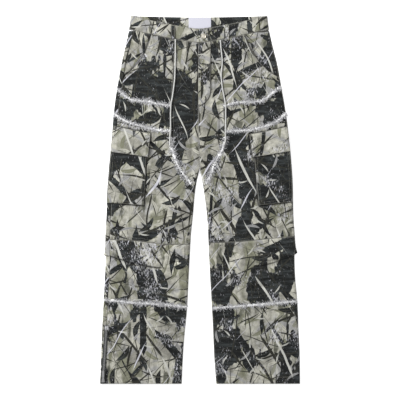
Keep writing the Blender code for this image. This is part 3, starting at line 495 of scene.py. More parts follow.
# Blades: single lens-shaped leaves, each turned its own way in a cell of its own.
inputs = "Place:Vector Scale Length Width Share"
given, out, blades = node_group("Shader", "willow_blades", inputs, "Mask Rib")
inputs = {"Vector": given["Place"], "Scale": given["Scale"], "Randomness": 0.9}
cells = add(blades, "TexVoronoi", inputs, voronoi_dimensions="2D").outputs
draws = add(blades, "SeparateColor", {0: cells["Color"]}).outputs
spot = turned(vectors("SUBTRACT", given["Place"], cells["Position"]), times(draws[0], math.tau))
lengthways, sideways, _ = split(spot)
lateral = calc("ABSOLUTE", minus(sideways, times(times(lengthways, lengthways), 9.0)))
along = calc("DIVIDE", lengthways, given["Length"])
edge = minus(times(minus(1.0, times(along, along)), given["Width"]), lateral)
mask = times(times(edge, 1600.0, clamp=True), calc("LESS_THAN", draws[1], given["Share"]))
feed(out["Mask"], mask)
feed(out["Rib"], times(times(minus(0.0006, lateral), 2500.0, clamp=True), mask))

given, out, camouflage = node_group("Shader", "reed_camouflage", "Place:Vector", "Color:Color Ink")
place = given["Place"]
clouds = partial(mist, place)


def stretched(turn, scale_x, scale_y, detail, rough=0.5, seed=0.0):
    """A noise of the print that is drawn out along one direction."""
    spread = {0: place, "Rotation": (0, 0, turn), "Scale": (scale_x, scale_y, 1)}
    return mist(add(camouflage, "Mapping", spread).outputs[0], 1.0, detail, rough, seed)


CHARCOAL = (0.009, 0.010, 0.010)
SPRUCE = (0.034, 0.039, 0.040)
BARK = (0.026, 0.026, 0.021)
MOSS = (0.085, 0.087, 0.066)
OLIVE = (0.170, 0.172, 0.120)
STONE = (0.225, 0.220, 0.192)
SAND = (0.425, 0.418, 0.360)
ASH = (0.290, 0.290, 0.290)
BONE = (0.520, 0.520, 0.480)
LILAC = (0.600, 0.600, 0.655)

# The ground: stone and sand, clouded with ash, olive and moss.
color = blended(ramp(clouds(13.0, 3.0, seed=1.3), 0.36, 0.64), STONE, SAND)
color = blended(ramp(clouds(17.0, 3.0, seed=7.7), 0.54, 0.62, 0.0, 0.8), color, ASH)
color = blended(ramp(stretched(0.3, 22.0, 9.0, 3.0, seed=4.1), 0.54, 0.62, 0.0, 0.85), color, OLIVE)
color = blended(ramp(stretched(-0.5, 30.0, 11.0, 4.0, seed=6.6), 0.58, 0.63, 0.0, 0.9), color, MOSS)
color = vectors("SCALE", color, ramp(clouds(70.0, 5.0, 0.62, seed=2.2), 0.28, 0.72, 0.66, 1.34))


def stroke_layer(color, angle, spacing, width, bend, seed, ink, strength=1.0):
    """Stems of one slant painted over the print so far."""
    sizes = {"Angle": angle, "Spacing": spacing, "Width": width, "Bend": bend, "Seed": seed}
    mask = use_group(camouflage, stems, Place=place, **sizes)["Mask"]
    return blended(times(mask, strength), color, ink)


def blade_layer(color, scale, length, width, share, shift, ink, rib_ink):
    """Single blades of one size painted over the print so far."""
    moved = vectors("ADD", place, (shift, 1.7 * shift, 0))
    sizes = {"Scale": scale, "Length": length, "Width": width, "Share": share}
    leaf = use_group(camouflage, blades, Place=moved, **sizes)
    return blended(times(leaf["Rib"], 0.8), blended(leaf["Mask"], color, ink), rib_ink)


# Soft far stems and blades first, then the broad dark ones, ragged patches and fine dark stems.
color = stroke_layer(color, 0.55, 0.050, 0.0060, 0.09, 21.0, OLIVE, 0.75)
color = stroke_layer(color, -0.95, 0.060, 0.0070, 0.10, 22.0, ASH, 0.8)
color = blade_layer(color, 16.0, 0.030, 0.0060, 0.6, 0.0, OLIVE, STONE)
color = blade_layer(color, 20.0, 0.024, 0.0046, 0.4, 0.31, SAND, MOSS)
dark = blended(ramp(stretched(0.5, 26.0, 120.0, 3.0, seed=3.3), 0.44, 0.66), CHARCOAL, SPRUCE)
color = stroke_layer(color, 0.10, 0.088, 0.0120, 0.06, 41.0, dark)
color = stroke_layer(color, 1.02, 0.105, 0.0100, 0.08, 42.0, dark)
color = stroke_layer(color, -0.74, 0.110, 0.0090, 0.07, 43.0, dark)
patch = ramp(stretched(0.12, 11.5, 6.8, 4.0, 0.5, seed=9.4), 0.515, 0.524)
color = blended(patch, color, dark)
color = blade_layer(color, 15.0, 0.031, 0.0080, 0.5, 0.57, dark, MOSS)
for sizes in (
    (0.20, 0.040, 0.0030, 0.06, 1.0),
    (-0.58, 0.044, 0.0032, 0.06, 2.0),
    (1.10, 0.046, 0.0028, 0.07, 3.0),
    (-1.30, 0.052, 0.0034, 0.07, 4.0),
    (0.78, 0.036, 0.0020, 0.05, 5.0),
    (-0.16, 0.038, 0.0017, 0.06, 6.0),
    (1.35, 0.050, 0.0022, 0.06, 7.0),
):
    color = stroke_layer(color, *sizes, BARK)

# Pale stems and blades lie over the dark, and flecks of lilac and black lie thickest at its edges.
color = blade_layer(color, 19.0, 0.024, 0.0036, 0.2, 0.83, ASH, CHARCOAL)
color = blade_layer(color, 26.0, 0.018, 0.0022, 0.2, 1.21, BONE, MOSS)
color = stroke_layer(color, -0.42, 0.080, 0.0026, 0.07, 31.0, BONE, 0.9)
color = stroke_layer(color, 0.66, 0.090, 0.0022, 0.08, 33.0, LILAC, 0.8)
zone = ramp(clouds(11.0, 4.0, 0.6, seed=12.6), 0.51, 0.64)
flake = stretched(-0.6, 300.0, 120.0, 5.0, 0.72, seed=5.9)
fleck = ramp(calc("MULTIPLY_ADD", zone, 0.11, flake), 0.60, 0.68)
pale = blended(ramp(clouds(60.0, 2.0, seed=3.9), 0.4, 0.6), ASH, LILAC)
color = blended(times(fleck, 0.85), color, pale)
pits = ramp(calc("MULTIPLY_ADD", zone, -0.10, flake), 0.35, 0.31)
color = blended(times(pits, 0.9), color, CHARCOAL)
feed(out["Color"], color)
feed(out["Ink"], patch)

# Twill: fine slanted ribs with slubs in them.
given, out, twill = node_group("Shader", "twill_weave", "Place:Vector Pitch", "Height Slub")
x, y, _ = split(given["Place"])
rib = zigzag(calc("DIVIDE", plus(x, times(y, 0.55)), given["Pitch"]), 0.5)
step = zigzag(calc("DIVIDE", y, given["Pitch"]), 0.5)
slub = mist(given["Place"], 700.0, 3.0)
feed(out["Height"], plus(plus(rib, times(step, 0.5)), times(slub, 0.6)))
feed(out["Slub"], slub)


def carried(tree, name):
    """An attribute that a piece carries."""
    return add(tree, "Attribute", attribute_name=name).outputs["Fac"]


printed_twill, tree, _ = material(
    "printed_twill", Roughness=0.9, Specular_IOR_Level=0.14, Sheen_Weight=0.03, Sheen_Roughness=0.6
)
uv = own_uv(tree)
printed = use_group(tree, camouflage, Place=uv)
weave = use_group(tree, twill, Place=uv, Pitch=0.0011)
from_edge = carried(tree, "from_edge")
color = vectors("SCALE", printed["Color"], ramp(weave["Slub"], 0.3, 0.7, 0.88, 1.10))
worn = ramp(calc("MULTIPLY_ADD", weave["Slub"], 0.0016, from_edge), 0.0012, 0.0040, 0.30, 0.0)
color = blended(worn, color, (0.42, 0.41, 0.37))
# Painted shade: the cloth turns nearly black within 1.3 mm of each piece's edge, as in the shadow of a seam.
color = blended(ramp(from_edge, 0.0, 0.0013, 0.72, 0.0), color, (0.012, 0.012, 0.011))
# Painted shade: dark under the knee tucks' lips and beside the edges of pieces sewn on top, fully dark where they
# cover the cloth.
color = blended(times(carried(tree, "shaded"), 0.85), color, (0.010, 0.010, 0.010))
finish(tree, color, weave["Height"], 0.35, 0.0004, ramp(printed["Ink"], 0.0, 1.0, 0.93, 0.80))


# ------------------------------------------------------------
# The two back panels and the back waistband: plain twill that lies on the floor. The left panel
# turns up round the side. Nothing of them shows from above but that edge and the waist's inside.
FLOOR_SIDE = 0.0016
PLAIN_EDGE = 0.02
SIDE_TURN = 0.012
CREASE_RISE = 0.0012
CREASE_FADE = 0.16
AREA_SHARES = (0.31, 0.999)
# Where each crease starts (x and how far down), its slope and its half width.
BACK_CREASES = (
    (-0.20, 0.30, 0.9, 0.010),
    (-0.12, 0.62, -0.5, 0.012),
    (0.16, 0.26, 0.6, 0.011),
    (0.13, 0.70, -0.8, 0.012),
)


def bell(distance, reach):
    """A soft hump from 1 at no distance to nearly nothing at twice its reach."""
    return np.exp(-((distance / reach) ** 2))


def merged_copy(node):
    """A solid's mesh with its triangles joined at their corners."""
    body = bmesh.new()
    body.from_mesh(frame["nodes"][node].data)
    bmesh.ops.remove_doubles(body, verts=body.verts, dist=0.00002)
    return body


def corners_of(mesh):
    """The places of a mesh's corners."""
    points = np.zeros(3 * len(mesh.vertices))
    mesh.vertices.foreach_get("co", points)
    return points.reshape(-1, 3)


def print_map(mesh, shift, turn=0.0):
    """The UV map that says which part of the print a piece is cut from."""
    x, y, _ = corners_of(mesh).T
    u = math.cos(turn) * x - math.sin(turn) * y + shift[0]
    v = math.sin(turn) * x + math.cos(turn) * y + shift[1]
    corners = np.zeros(len(mesh.loops), np.int32)
    mesh.loops.foreach_get("vertex_index", corners)
    layer = mesh.uv_layers.new(name="UVMap")
    layer.data.foreach_set("uv", np.stack([u[corners], v[corners]], 1).ravel().astype(np.float32))


def edge_attributes(mesh, from_edge, shaded_by=0.0):
    """Each point's distance from the piece's edge, and how deep it lies in a fold's dark."""
    for name, values in (("from_edge", from_edge), ("shaded", shaded_by)):
        layer = mesh.attributes.new(name, "FLOAT", "POINT")
        layer.data.foreach_set("value", np.full(len(mesh.vertices), values, np.float32))


def declare_cloth(piece, node, size, area, rests_on, slot="printed_twill"):
    width, length = map(float, size)
    of_jeans(piece, slot, node)
    least, most = (share * width * length for share in AREA_SHARES)
    area = max(min(area, most), least)
    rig.sheet(piece, flat=(width, length), held="laid", rests_on=rests_on, area=area)


cloth_pieces = {}
for number, node in enumerate(("back_panel_left", "back_panel_right", "waistband_back")):
    body = merged_copy(node)
    bmesh.ops.join_triangles(
        body, faces=body.faces, angle_face_threshold=0.6, angle_shape_threshold=1.2, cmp_seam=False
    )
    for _ in range(2):
        bmesh.ops.subdivide_edges(body, edges=body.edges, cuts=1, use_grid_fill=True)
    for corner in body.verts:
        down = LENGTH / 2 - corner.co.y
        lift = 0.0
        for x, start, slope, width in BACK_CREASES:
            offset = corner.co.x - x - 0.12 * slope * (down - start)
            lift += CREASE_RISE * bell(down - start, CREASE_FADE) * bell(offset, width)
        if corner.co.z < FLOOR_SIDE:
            corner.co.z += lift
    for face in body.faces:
        face.smooth = True
    piece = made_object(node + "_cloth", body)
    mesh = piece.data
    mesh.set_sharp_from_angle(angle=math.radians(50))
    mesh.materials.append(printed_twill)
    print_map(mesh, (1.7 + 0.9 * number, 0.4 - 0.7 * number))
    edge_attributes(mesh, PLAIN_EDGE)
    cloth_pieces[node] = piece
    low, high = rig.box(node)
    size = (high.x - low.x + (SIDE_TURN if number < 2 else 0.0), high.y - low.y)
    declare_cloth(piece, node, size, 0.5 * sum(face.area for face in mesh.polygons), ["floor"])


# ------------------------------------------------------------
# The two hand-pocket facings and the front of each leg: hip, centre front, thigh band, thigh, knee
# and shin, each cut from the printed twill and sewn edge to edge. They lie loosely on the back, so
# soft creases run from the crotch, the waist, the knees and the hems.
CLOTH = 0.0011
GRID = 0.0027
RINGS = (0.0006, 0.0014, 0.0026)
TUCK_EDGE = 0.0007
OUTLINE_STEP = 0.003
UPWARD = 0.12
RIM = 0.0004
ROLL_REACH = 0.0022
PUCKER_LENGTH = 0.0095
PUCKER_REACH = 0.007
# Each crease runs from one point over a second to a third (x, down, in centimetres), with its
# width and its rise in millimetres. A rise below nought is a trough.
CREASES = (
    (-17.2, 7.5, -17.8, 11.0, -17.0, 15.5, 5, -1.8), (-13.9, 7.2, -13.2, 12.0, -13.8, 18.0, 6, 2.0),
    (-9.6, 6.8, -9.9, 10.0, -9.2, 14.0, 5, -1.7), (-4.2, 7.5, -3.6, 12.0, -4.4, 17.5, 6, 1.7),
    (4.6, 7.3, 4.9, 11.0, 4.2, 15.0, 6, -1.7), (9.8, 7.0, 9.5, 12.0, 10.3, 17.0, 6, 2.0),
    (13.8, 7.2, 14.5, 11.0, 14.0, 15.0, 5, -1.8), (-1.6, 30.0, -2.6, 37.0, -2.2, 46.0, 6, -3.4),
    (-3.6, 33.0, -4.9, 38.0, -5.6, 45.5, 8, 2.8), (5.6, 24.5, 6.5, 33.0, 5.4, 42.0, 6, -3.8),
    (8.2, 27.0, 8.5, 34.5, 7.8, 41.0, 8, 2.7), (0.9, 33.0, 1.6, 38.0, 1.0, 44.0, 5, 1.8),
    (-2.6, 45.5, -6.4, 47.6, -10.8, 52.5, 7, -3.3), (-2.2, 42.5, -7.5, 42.8, -12.4, 45.6, 9, 2.5),
    (-2.0, 49.5, -4.8, 53.0, -6.8, 59.5, 8, 2.7), (-3.0, 38.8, -7.6, 37.2, -11.5, 37.9, 7, -2.1),
    (2.8, 44.8, 6.8, 47.6, 10.8, 52.0, 7, -3.4), (3.0, 41.5, 8.2, 42.2, 12.6, 44.6, 9, 2.5),
    (2.4, 49.0, 5.6, 53.6, 7.2, 60.0, 8, 2.5), (3.6, 38.0, 7.9, 36.0, 12.0, 36.9, 7, -2.1),
    (-12.5, 33.5, -13.8, 40.0, -13.0, 47.0, 9, -2.1), (12.9, 34.5, 13.9, 41.0, 13.1, 46.0, 9, -2.1),
    (-13.4, 48.5, -14.2, 56.0, -13.0, 65.5, 12, 2.4), (-9.6, 52.5, -9.8, 60.0, -9.0, 66.0, 10, -2.2),
    (12.8, 48.0, 14.1, 56.0, 13.4, 64.8, 12, 2.4), (9.4, 52.0, 9.2, 58.0, 10.2, 65.0, 10, -2.2),
    (-24.8, 62.5, -21.0, 64.5, -17.0, 64.0, 7, 2.5), (-19.8, 61.0, -20.2, 66.0, -19.2, 70.5, 9, -2.0),
    (24.5, 59.0, 20.5, 62.0, 16.5, 62.5, 7, 2.5), (19.2, 59.5, 20.4, 65.0, 19.6, 69.5, 9, -2.0),
    (-26.8, 68.5, -20.0, 70.2, -12.0, 71.8, 7, 2.7), (-25.2, 75.6, -19.5, 75.6, -13.0, 77.8, 7, 2.5),
    (-24.5, 77.4, -18.6, 77.8, -12.5, 80.0, 7, -2.5), (-3.2, 70.2, -7.8, 71.4, -12.0, 73.0, 6, -2.8),
    (-3.4, 74.4, -8.0, 75.6, -11.0, 74.8, 7, 2.1), (28.2, 67.6, 22.0, 70.2, 15.4, 71.2, 7, 2.7),
    (26.0, 74.2, 20.5, 75.0, 13.2, 77.2, 7, 2.5), (24.8, 76.4, 19.0, 78.6, 13.4, 79.4, 7, -2.5),
    (4.6, 69.8, 8.4, 71.4, 13.4, 72.8, 6, -2.8), (4.8, 74.0, 9.0, 75.2, 12.9, 74.4, 7, 2.1),
    (-14.6, 74.5, -14.0, 80.0, -15.2, 84.8, 10, 2.4), (-17.8, 76.5, -17.0, 81.0, -18.0, 85.5, 9, -2.1),
    (15.2, 74.0, 14.4, 79.0, 15.8, 84.2, 10, 2.4), (18.6, 76.0, 18.0, 80.0, 19.2, 84.6, 9, -2.1),
    (-25.9, 87.5, -21.0, 88.6, -15.4, 88.4, 8, 2.4), (-24.6, 91.2, -19.4, 91.0, -13.8, 93.4, 9, -2.5),
    (-4.4, 86.8, -8.4, 88.9, -12.8, 89.8, 8, -2.2), (-5.2, 94.0, -9.2, 93.0, -13.4, 96.2, 9, 2.2),
    (-24.4, 95.6, -19.0, 96.8, -14.6, 99.8, 9, 2.2), (-19.5, 98.5, -20.4, 102.5, -19.4, 106.0, 8, -2.8),
    (-13.8, 97.5, -13.1, 102.0, -14.0, 106.2, 8, 2.4), (-8.6, 98.5, -8.9, 102.0, -7.9, 106.0, 7, -2.5),
    (26.2, 86.8, 21.0, 87.8, 15.6, 87.4, 8, 2.4), (25.6, 90.4, 19.8, 90.6, 14.2, 93.2, 9, -2.5),
    (5.6, 86.4, 9.4, 88.6, 13.6, 89.4, 8, -2.2), (6.0, 93.0, 10.0, 92.4, 14.4, 95.4, 9, 2.2),
    (25.9, 94.4, 20.6, 96.2, 16.0, 99.4, 9, 2.2), (20.8, 98.0, 21.4, 102.0, 20.6, 105.8, 8, -2.8),
    (14.6, 98.0, 14.0, 102.5, 15.0, 106.0, 8, 2.4), (9.4, 98.0, 9.9, 102.0, 9.0, 105.8, 7, -2.5),
)
# Each tuck at a knee is a lip of cloth that hangs over a dark line, given in the same way by three
# places and the lip's height in millimetres.
TUCKS = (
    (-27.6, 69.1, -23.6, 70.0, -20.4, 71.4, 2.6),
    (-19.6, 71.4, -15.4, 72.8, -10.6, 73.0, 2.4),
    (29.4, 68.9, 25.6, 69.8, 21.6, 71.2, 2.6),
    (23.0, 71.0, 18.6, 72.2, 15.4, 72.8, 2.2),
)


def softened(line, spacing=0.003):
    """A line made even and smooth, with its ends kept."""
    line, _ = respaced(line, spacing)
    for _ in range(3):
        line[1:-1] = 0.25 * line[:-2] + 0.5 * line[1:-1] + 0.25 * line[2:]
    return line


def smooth_step(values, low, high):
    """Values spread softly from low..high to 0..1."""
    share = np.clip((values - low) / (high - low), 0.0, 1.0)
    return share * share * (3 - 2 * share)


def side_line(node, pick):
    """Where a back panel's outer side lies at each height."""
    points = corners_of(frame["nodes"][node].data)
    rows = np.arange(-0.53, 0.54, 0.02)
    near = [points[np.abs(points[:, 1] - row) < 0.035, 0] for row in rows]
    return np.array([(row, pick(part)) for row, part in zip(rows, near) if len(part)]).T


LEFT_SIDE = side_line("back_panel_left", np.min)
RIGHT_SIDE = side_line("back_panel_right", np.max)


def grit(x, y, z):
    """A noise from -1 to 1."""
    return noise.noise(Vector((x, y, z)))


def ripple(points, seed, scale):
    """An even small unevenness of the cloth."""
    return np.array([grit(x * scale, y * scale, seed) for x, y in points])


def fold_line(*places):
    """The curve of a crease or tuck, from the three places of its row."""
    marks = zip(places[::2], places[1::2])
    a, b, c = (np.array((x * 0.01, LENGTH / 2 - down * 0.01)) for x, down in marks)
    steps = np.linspace(0.0, 1.0, 13)[:, None]
    return (1 - steps) ** 2 * a + 2 * steps * (1 - steps) * b + steps**2 * c


def fold_reach(points, curve):
    """How far places are from a curve, how far along it they lie, and whether they are above it."""
    near = np.full(len(points), 1.0)
    along = np.zeros(len(points))
    above = np.ones(len(points))
    for k, (p, q) in enumerate(zip(curve, curve[1:])):
        way = q - p
        part = np.clip(((points - p) @ way) / (way @ way), 0.0, 1.0)
        offset = points - p - part[:, None] * way
        gap = np.linalg.norm(offset, axis=1)
        closer = gap < near
        near[closer] = gap[closer]
        along[closer] = (k + part[closer]) / (len(curve) - 1)
        above[closer] = np.where(offset[closer, 1] >= 0, 1.0, -1.0)
    return near, along, above


def tuck_reach(points):
    """For each tuck its height, how near to it and above it places are, and how full it is there."""
    for *places, height in TUCKS:
        near, along, above = fold_reach(points, fold_line(*places))
        yield height * 0.001, near, above, np.sin(math.pi * np.clip(along * 0.8 + 0.1, 0.0, 1.0))


def to_side(points):
    """How far places are from the nearer outer side of the garment."""
    left = points[:, 0] - np.interp(points[:, 1], *LEFT_SIDE)
    right = np.interp(points[:, 1], *RIGHT_SIDE) - points[:, 0]
    return np.minimum(left, right)


def drape(points):
    """How far the loose front stands off or sinks at places: creases, tucks and a soft swell."""
    rise = np.zeros(len(points))
    for *places, width, height in CREASES:
        near, along, _ = fold_reach(points, fold_line(*places))
        fade = np.sin(math.pi * np.clip(along * 0.86 + 0.07, 0.0, 1.0)) ** 0.8
        rise += height * 0.001 * fade * bell(near, width * 0.001 * (0.75 + 0.5 * along))
    rise += 0.00055 * ripple(points, 3.1, 14.0) + 0.00025 * ripple(points, 8.4, 45.0)
    rise *= smooth_step(to_side(points), 0.006, 0.028)
    for height, near, above, fade in tuck_reach(points):
        lip = smooth_step(near * above, -TUCK_EDGE, TUCK_EDGE) * bell(near, 0.016)
        rise += height * fade * lip * smooth_step(to_side(points), 0.001, 0.010)
    return rise * smooth_step(LENGTH / 2 - points[:, 1], 0.03, 0.07)


def area_of(outline):
    """The area within an outline, which is below nought where it runs clockwise."""
    x, y = outline[:, :2].T
    return 0.5 * float(np.sum(x * np.roll(y, -1) - y * np.roll(x, -1)))


@cache
def outline_of(node):
    """The loop round a solid's upper faces, evenly spaced, with its corners kept."""
    body = merged_copy(node)
    upper = [face for face in body.faces if face.normal.z > UPWARD]
    inside = set(upper)
    follow = {}
    for face in upper:
        for loop in face.loops:
            if not any(other in inside for other in loop.edge.link_faces if other is not face):
                follow[loop.vert] = loop.link_loop_next.vert
    loops = []
    while follow:
        start, corner = follow.popitem()
        chain = [start.co.copy()]
        while corner is not start and corner in follow:
            chain.append(corner.co.copy())
            corner = follow.pop(corner)
        loops.append(chain)
    body.free()
    chain = max(loops, key=lambda points: abs(area_of(np.array(points))))
    even = []
    for a, b in zip(chain, chain[1:] + chain[:1]):
        steps = max(1, round((b - a).length / OUTLINE_STEP))
        even += [a.lerp(b, k / steps) for k in range(steps)]
    kept = even[:1]
    for place, following in zip(even[1:], even[2:] + even[:1]):
        before = place - kept[-1]
        after = following - place
        bends = min(before.xy.length, after.xy.length) > 1e-6 and before.xy.angle(after.xy) > 0.35
        if before.length > 0.6 * OUTLINE_STEP or (bends and before.length > 0.0006):
            kept.append(place)
    return np.array(kept)


def edge_distance(points, outline):
    """How far each place is from an outline, and how far round the outline that is."""
    best = np.full(len(points), 9.0)
    where = np.zeros(len(points))
    run = 0.0
    flat = outline[:, :2]
    for a, way in zip(flat, np.roll(flat, -1, axis=0) - flat):
        length = float(np.linalg.norm(way))
        part = np.clip(((points - a) @ way) / max(length**2, 1e-12), 0.0, 1.0)
        gap = np.linalg.norm(points - a - part[:, None] * way, axis=1)
        closer = gap < best
        best[closer] = gap[closer]
        where[closer] = run + part[closer] * length
        run += length
    return best, where


def within(points, outline):
    """Which places lie inside an outline."""
    inside = np.zeros(len(points), bool)
    for a, b in zip(outline, np.roll(outline, -1, axis=0)):
        crosses = (a[1] > points[:, 1]) != (b[1] > points[:, 1])
        with np.errstate(divide="ignore", invalid="ignore"):
            x = a[0] + (points[:, 1] - a[1]) * (b[0] - a[0]) / (b[1] - a[1])
        inside ^= crosses & (points[:, 0] < x)
    return inside


def shaded(points, over, reach):
    """How deep places lie in the dark beside a tuck's lip or the edge of a piece sewn on top."""
    dark = np.zeros(len(points))
    for _, near, above, fade in tuck_reach(points):
        under_lip = 0.5 * bell(near, 0.0055) + 0.5 * bell(near, 0.0020)
        dark = np.maximum(dark, fade * np.where(above < 0, under_lip, bell(near, 0.0008)))
    for node in over:
        gap, _ = edge_distance(points, outline_of(node))
        dark = np.maximum(dark, np.where(within(points, outline_of(node)), 1.0, bell(gap, reach)))
    return dark


def unit(ways):
    """Directions made one long."""
    return ways / np.maximum(np.linalg.norm(ways, axis=-1, keepdims=True), 1e-12)


def to_left(ways):
    """The directions to the left of some others, in plan."""
    return unit(np.stack([-ways[:, 1], ways[:, 0]], 1))


def flat_cut(outline, grid, tucked):
    """A cut piece laid flat: its places and its triangles, fine at the edge and at the tucks."""
    flat = outline[:, :2]
    inward = to_left(np.roll(flat, -1, axis=0) - np.roll(flat, 1, axis=0))
    places = [flat]
    for inset in RINGS:
        ring = flat + inward * math.copysign(inset, area_of(outline))
        gap, _ = edge_distance(ring, outline)
        places.append(ring[(gap > 0.9 * inset) & within(ring, outline)])
    low, high = flat.min(0), flat.max(0)
    rows = [
        (np.arange(low[0] + (i % 2) * grid / 2, high[0], grid), y)
        for i, y in enumerate(np.arange(low[1], high[1], grid * 0.866))
    ]
    inner = np.array([(x, y) for row, y in rows for x in row])
    for *tuck, _ in TUCKS if tucked else ():
        curve = fold_line(*tuck)
        inner = inner[fold_reach(inner, curve)[0] > 2.4 * TUCK_EDGE]
        fine = softened(curve, 0.0016)
        side = to_left(np.gradient(fine, axis=0)) * TUCK_EDGE
        inner = np.concatenate([inner, fine - side, fine, fine + side])
    inner = inner[within(inner, outline)]
    gap, _ = edge_distance(inner, outline)
    places.append(inner[gap > RINGS[-1] + 0.0012])
    count = len(flat)
    edges = [(i, (i + 1) % count) for i in range(count)]
    corners, _, faces, *_ = geometry.delaunay_2d_cdt(
        [Vector(point) for point in np.concatenate(places)], edges, [list(range(count))], 1, 1e-6
    )
    used = sorted({corner for face in faces for corner in face})
    number = {corner: i for i, corner in enumerate(used)}
    faces = [[number[corner] for corner in face] for face in faces]
    return np.array([tuple(corners[i]) for i in used]), faces


def height_at(surface, x, y):
    """How high a surface lies at a place, or None beside it."""
    hit = surface.ray_cast(Vector((x, y, 1.0)), Vector((0, 0, -1)))[0]
    return hit and hit.z


def closed_shell(name, upper, lower, faces, paint):
    """A closed piece between its upper and its lower side, which have the same faces."""
    count = len(upper)
    sides = [pair for face in faces for pair in zip(face, face[1:] + face[:1])]
    known = set(sides)
    rim = [(b, a, a + count, b + count) for a, b in sides if (b, a) not in known]
    under = [[corner + count for corner in reversed(face)] for face in faces]
    mesh = bpy.data.meshes.new(name)
    mesh.from_pydata(np.concatenate([upper, lower]).tolist(), [], faces + under + rim)
    mesh.shade_smooth()
    mesh.set_sharp_from_angle(angle=math.radians(55))
    mesh.materials.append(paint)
    return put(name, mesh)


def cut_piece(
    node, rests_on, shift=(0.0, 0.0), turn=0.0, roll=0.0008, pucker=0.00025, thickness=CLOTH,
    grid=GRID, draped=True, over=(), reach=0.0036, paint=printed_twill, slot="printed_twill",
):
    """A thin shell of cloth on a solid's upper side, creased and rolled at its seams.

    Its flat size is the size that shows, without its laps.
    """
    body = merged_copy(node)
    surface = BVHTree.FromBMesh(body)
    body.free()
    outline = outline_of(node)
    points, faces = flat_cut(outline, grid, draped)
    from_edge, run = edge_distance(points, outline)
    closed = np.append(outline, outline[:1], axis=0)
    heights = np.interp(run, run_along(closed[:, :2]), closed[:, 2])
    for i in np.flatnonzero(from_edge >= RIM):
        found = height_at(surface, *points[i])
        heights[i] = heights[i] if found is None else found
    if draped:
        heights += drape(points)
    heights -= roll * bell(from_edge, ROLL_REACH)
    wave = np.sin(run * math.tau / PUCKER_LENGTH + 2.2 * np.sin(run * 37.0))
    wave *= np.exp(-from_edge / PUCKER_REACH) * smooth_step(from_edge, 0.0, 0.002)
    upper = np.column_stack([points, heights + pucker * wave])
    triangles = np.array(faces)
    a, b, c = upper[triangles].transpose(1, 0, 2)
    cross = np.cross(b - a, c - a)
    faces = [face if up >= 0 else face[::-1] for face, up in zip(faces, cross[:, 2])]
    cross *= np.where(cross[:, 2:] < 0, -1.0, 1.0)
    normals = np.zeros_like(upper)
    for k in range(3):
        np.add.at(normals, triangles[:, k], cross)
    piece = closed_shell(node + "_cloth", upper, upper - unit(normals) * thickness, faces, paint)
    print_map(piece.data, shift, turn)
    edge_attributes(piece.data, np.tile(from_edge, 2), np.tile(shaded(points, over, reach), 2))
    cloth_pieces[node] = piece
    declare_cloth(piece, node, np.ptp(outline[:, :2], axis=0), abs(area_of(outline)), rests_on, slot)


for side, way in (("left", 0.0), ("right", 1.0)):
    back = ["back_panel_" + side]
    hip = "hip_front_" + side
    pocket = ["cargo_pocket_" + side, "cargo_flap_" + side]
    facing = {"roll": 0.0, "pucker": 0.0, "over": [hip], "reach": 0.0062}
    cut_piece("pocket_facing_" + side, back, (2.1 + way, 3.3), **facing)
    cut_piece(hip, back, (3.4 + 1.3 * way, 1.2 - way))
    cut_piece("centre_front_" + side, back, (5.7 + 1.1 * way, 2.6 + way), over=["fly_placket"])
    cut_piece("thigh_band_" + side, back, (7.1 + 1.7 * way, 0.9 + way), 0.12)
    cut_piece("thigh_front_" + side, back, (9.3 + 1.9 * way, 4.2 - way), over=pocket)
    cut_piece("knee_front_" + side, back, (1.741 + 10.7 * way, 2.162 + 5.2 * way))
    cut_piece("shin_front_" + side, back, (13.9 + 1.6 * way, 8.1 - way))


# ------------------------------------------------------------
# The fly's placket, the cargo pockets with their flaps, and the front waistband: the same twill,
# sewn on over the fronts. The pockets bellow a little off the leg.
cut_piece("fly_placket", ["centre_front_left", "centre_front_right"], (16.3, 1.1), roll=0.0003)
for side, way in (("left", 0.0), ("right", 1.0)):
    pocket, flap = "cargo_pocket_" + side, "cargo_flap_" + side
    cut_piece(pocket, ["thigh_front_" + side], (18.2 + way, 3.7 - way), roll=0.0004, over=[flap])
    cut_piece(flap, [pocket], (0.428 + 0.233 * way, 0.592 + 1.722 * way), roll=0.0005)
cut_piece("waistband_front_left", ["waistband_back"], (22.7, 0.6))
cut_piece("waistband_front_right", ["waistband_back"], (24.1, 2.9))


# ------------------------------------------------------------
# Two belt loops: folded strips of the twill, 11.5 mm wide, tacked to the waistband at both ends and
# standing a little off it between them.
LOOP_PLACE = 0.0783
LOOP_WIDTH = 0.0115
LOOP_ROWS = 22
LOOP_COLUMNS = 6
LOOP_STAND = 0.0017
LOOP_CROWN = 0.0004
LOOP_BELOW = 0.007


def surface_of(*nodes):
    """The outer surface of some cloth pieces, to lay things on."""
    corners, faces = [], []
    for node in nodes:
        mesh = cloth_pieces[node].data
        faces += [[len(corners) + corner for corner in face.vertices] for face in mesh.polygons]
        corners += [corner.co.copy() for corner in mesh.vertices]
    return BVHTree.FromPolygons(corners, faces)


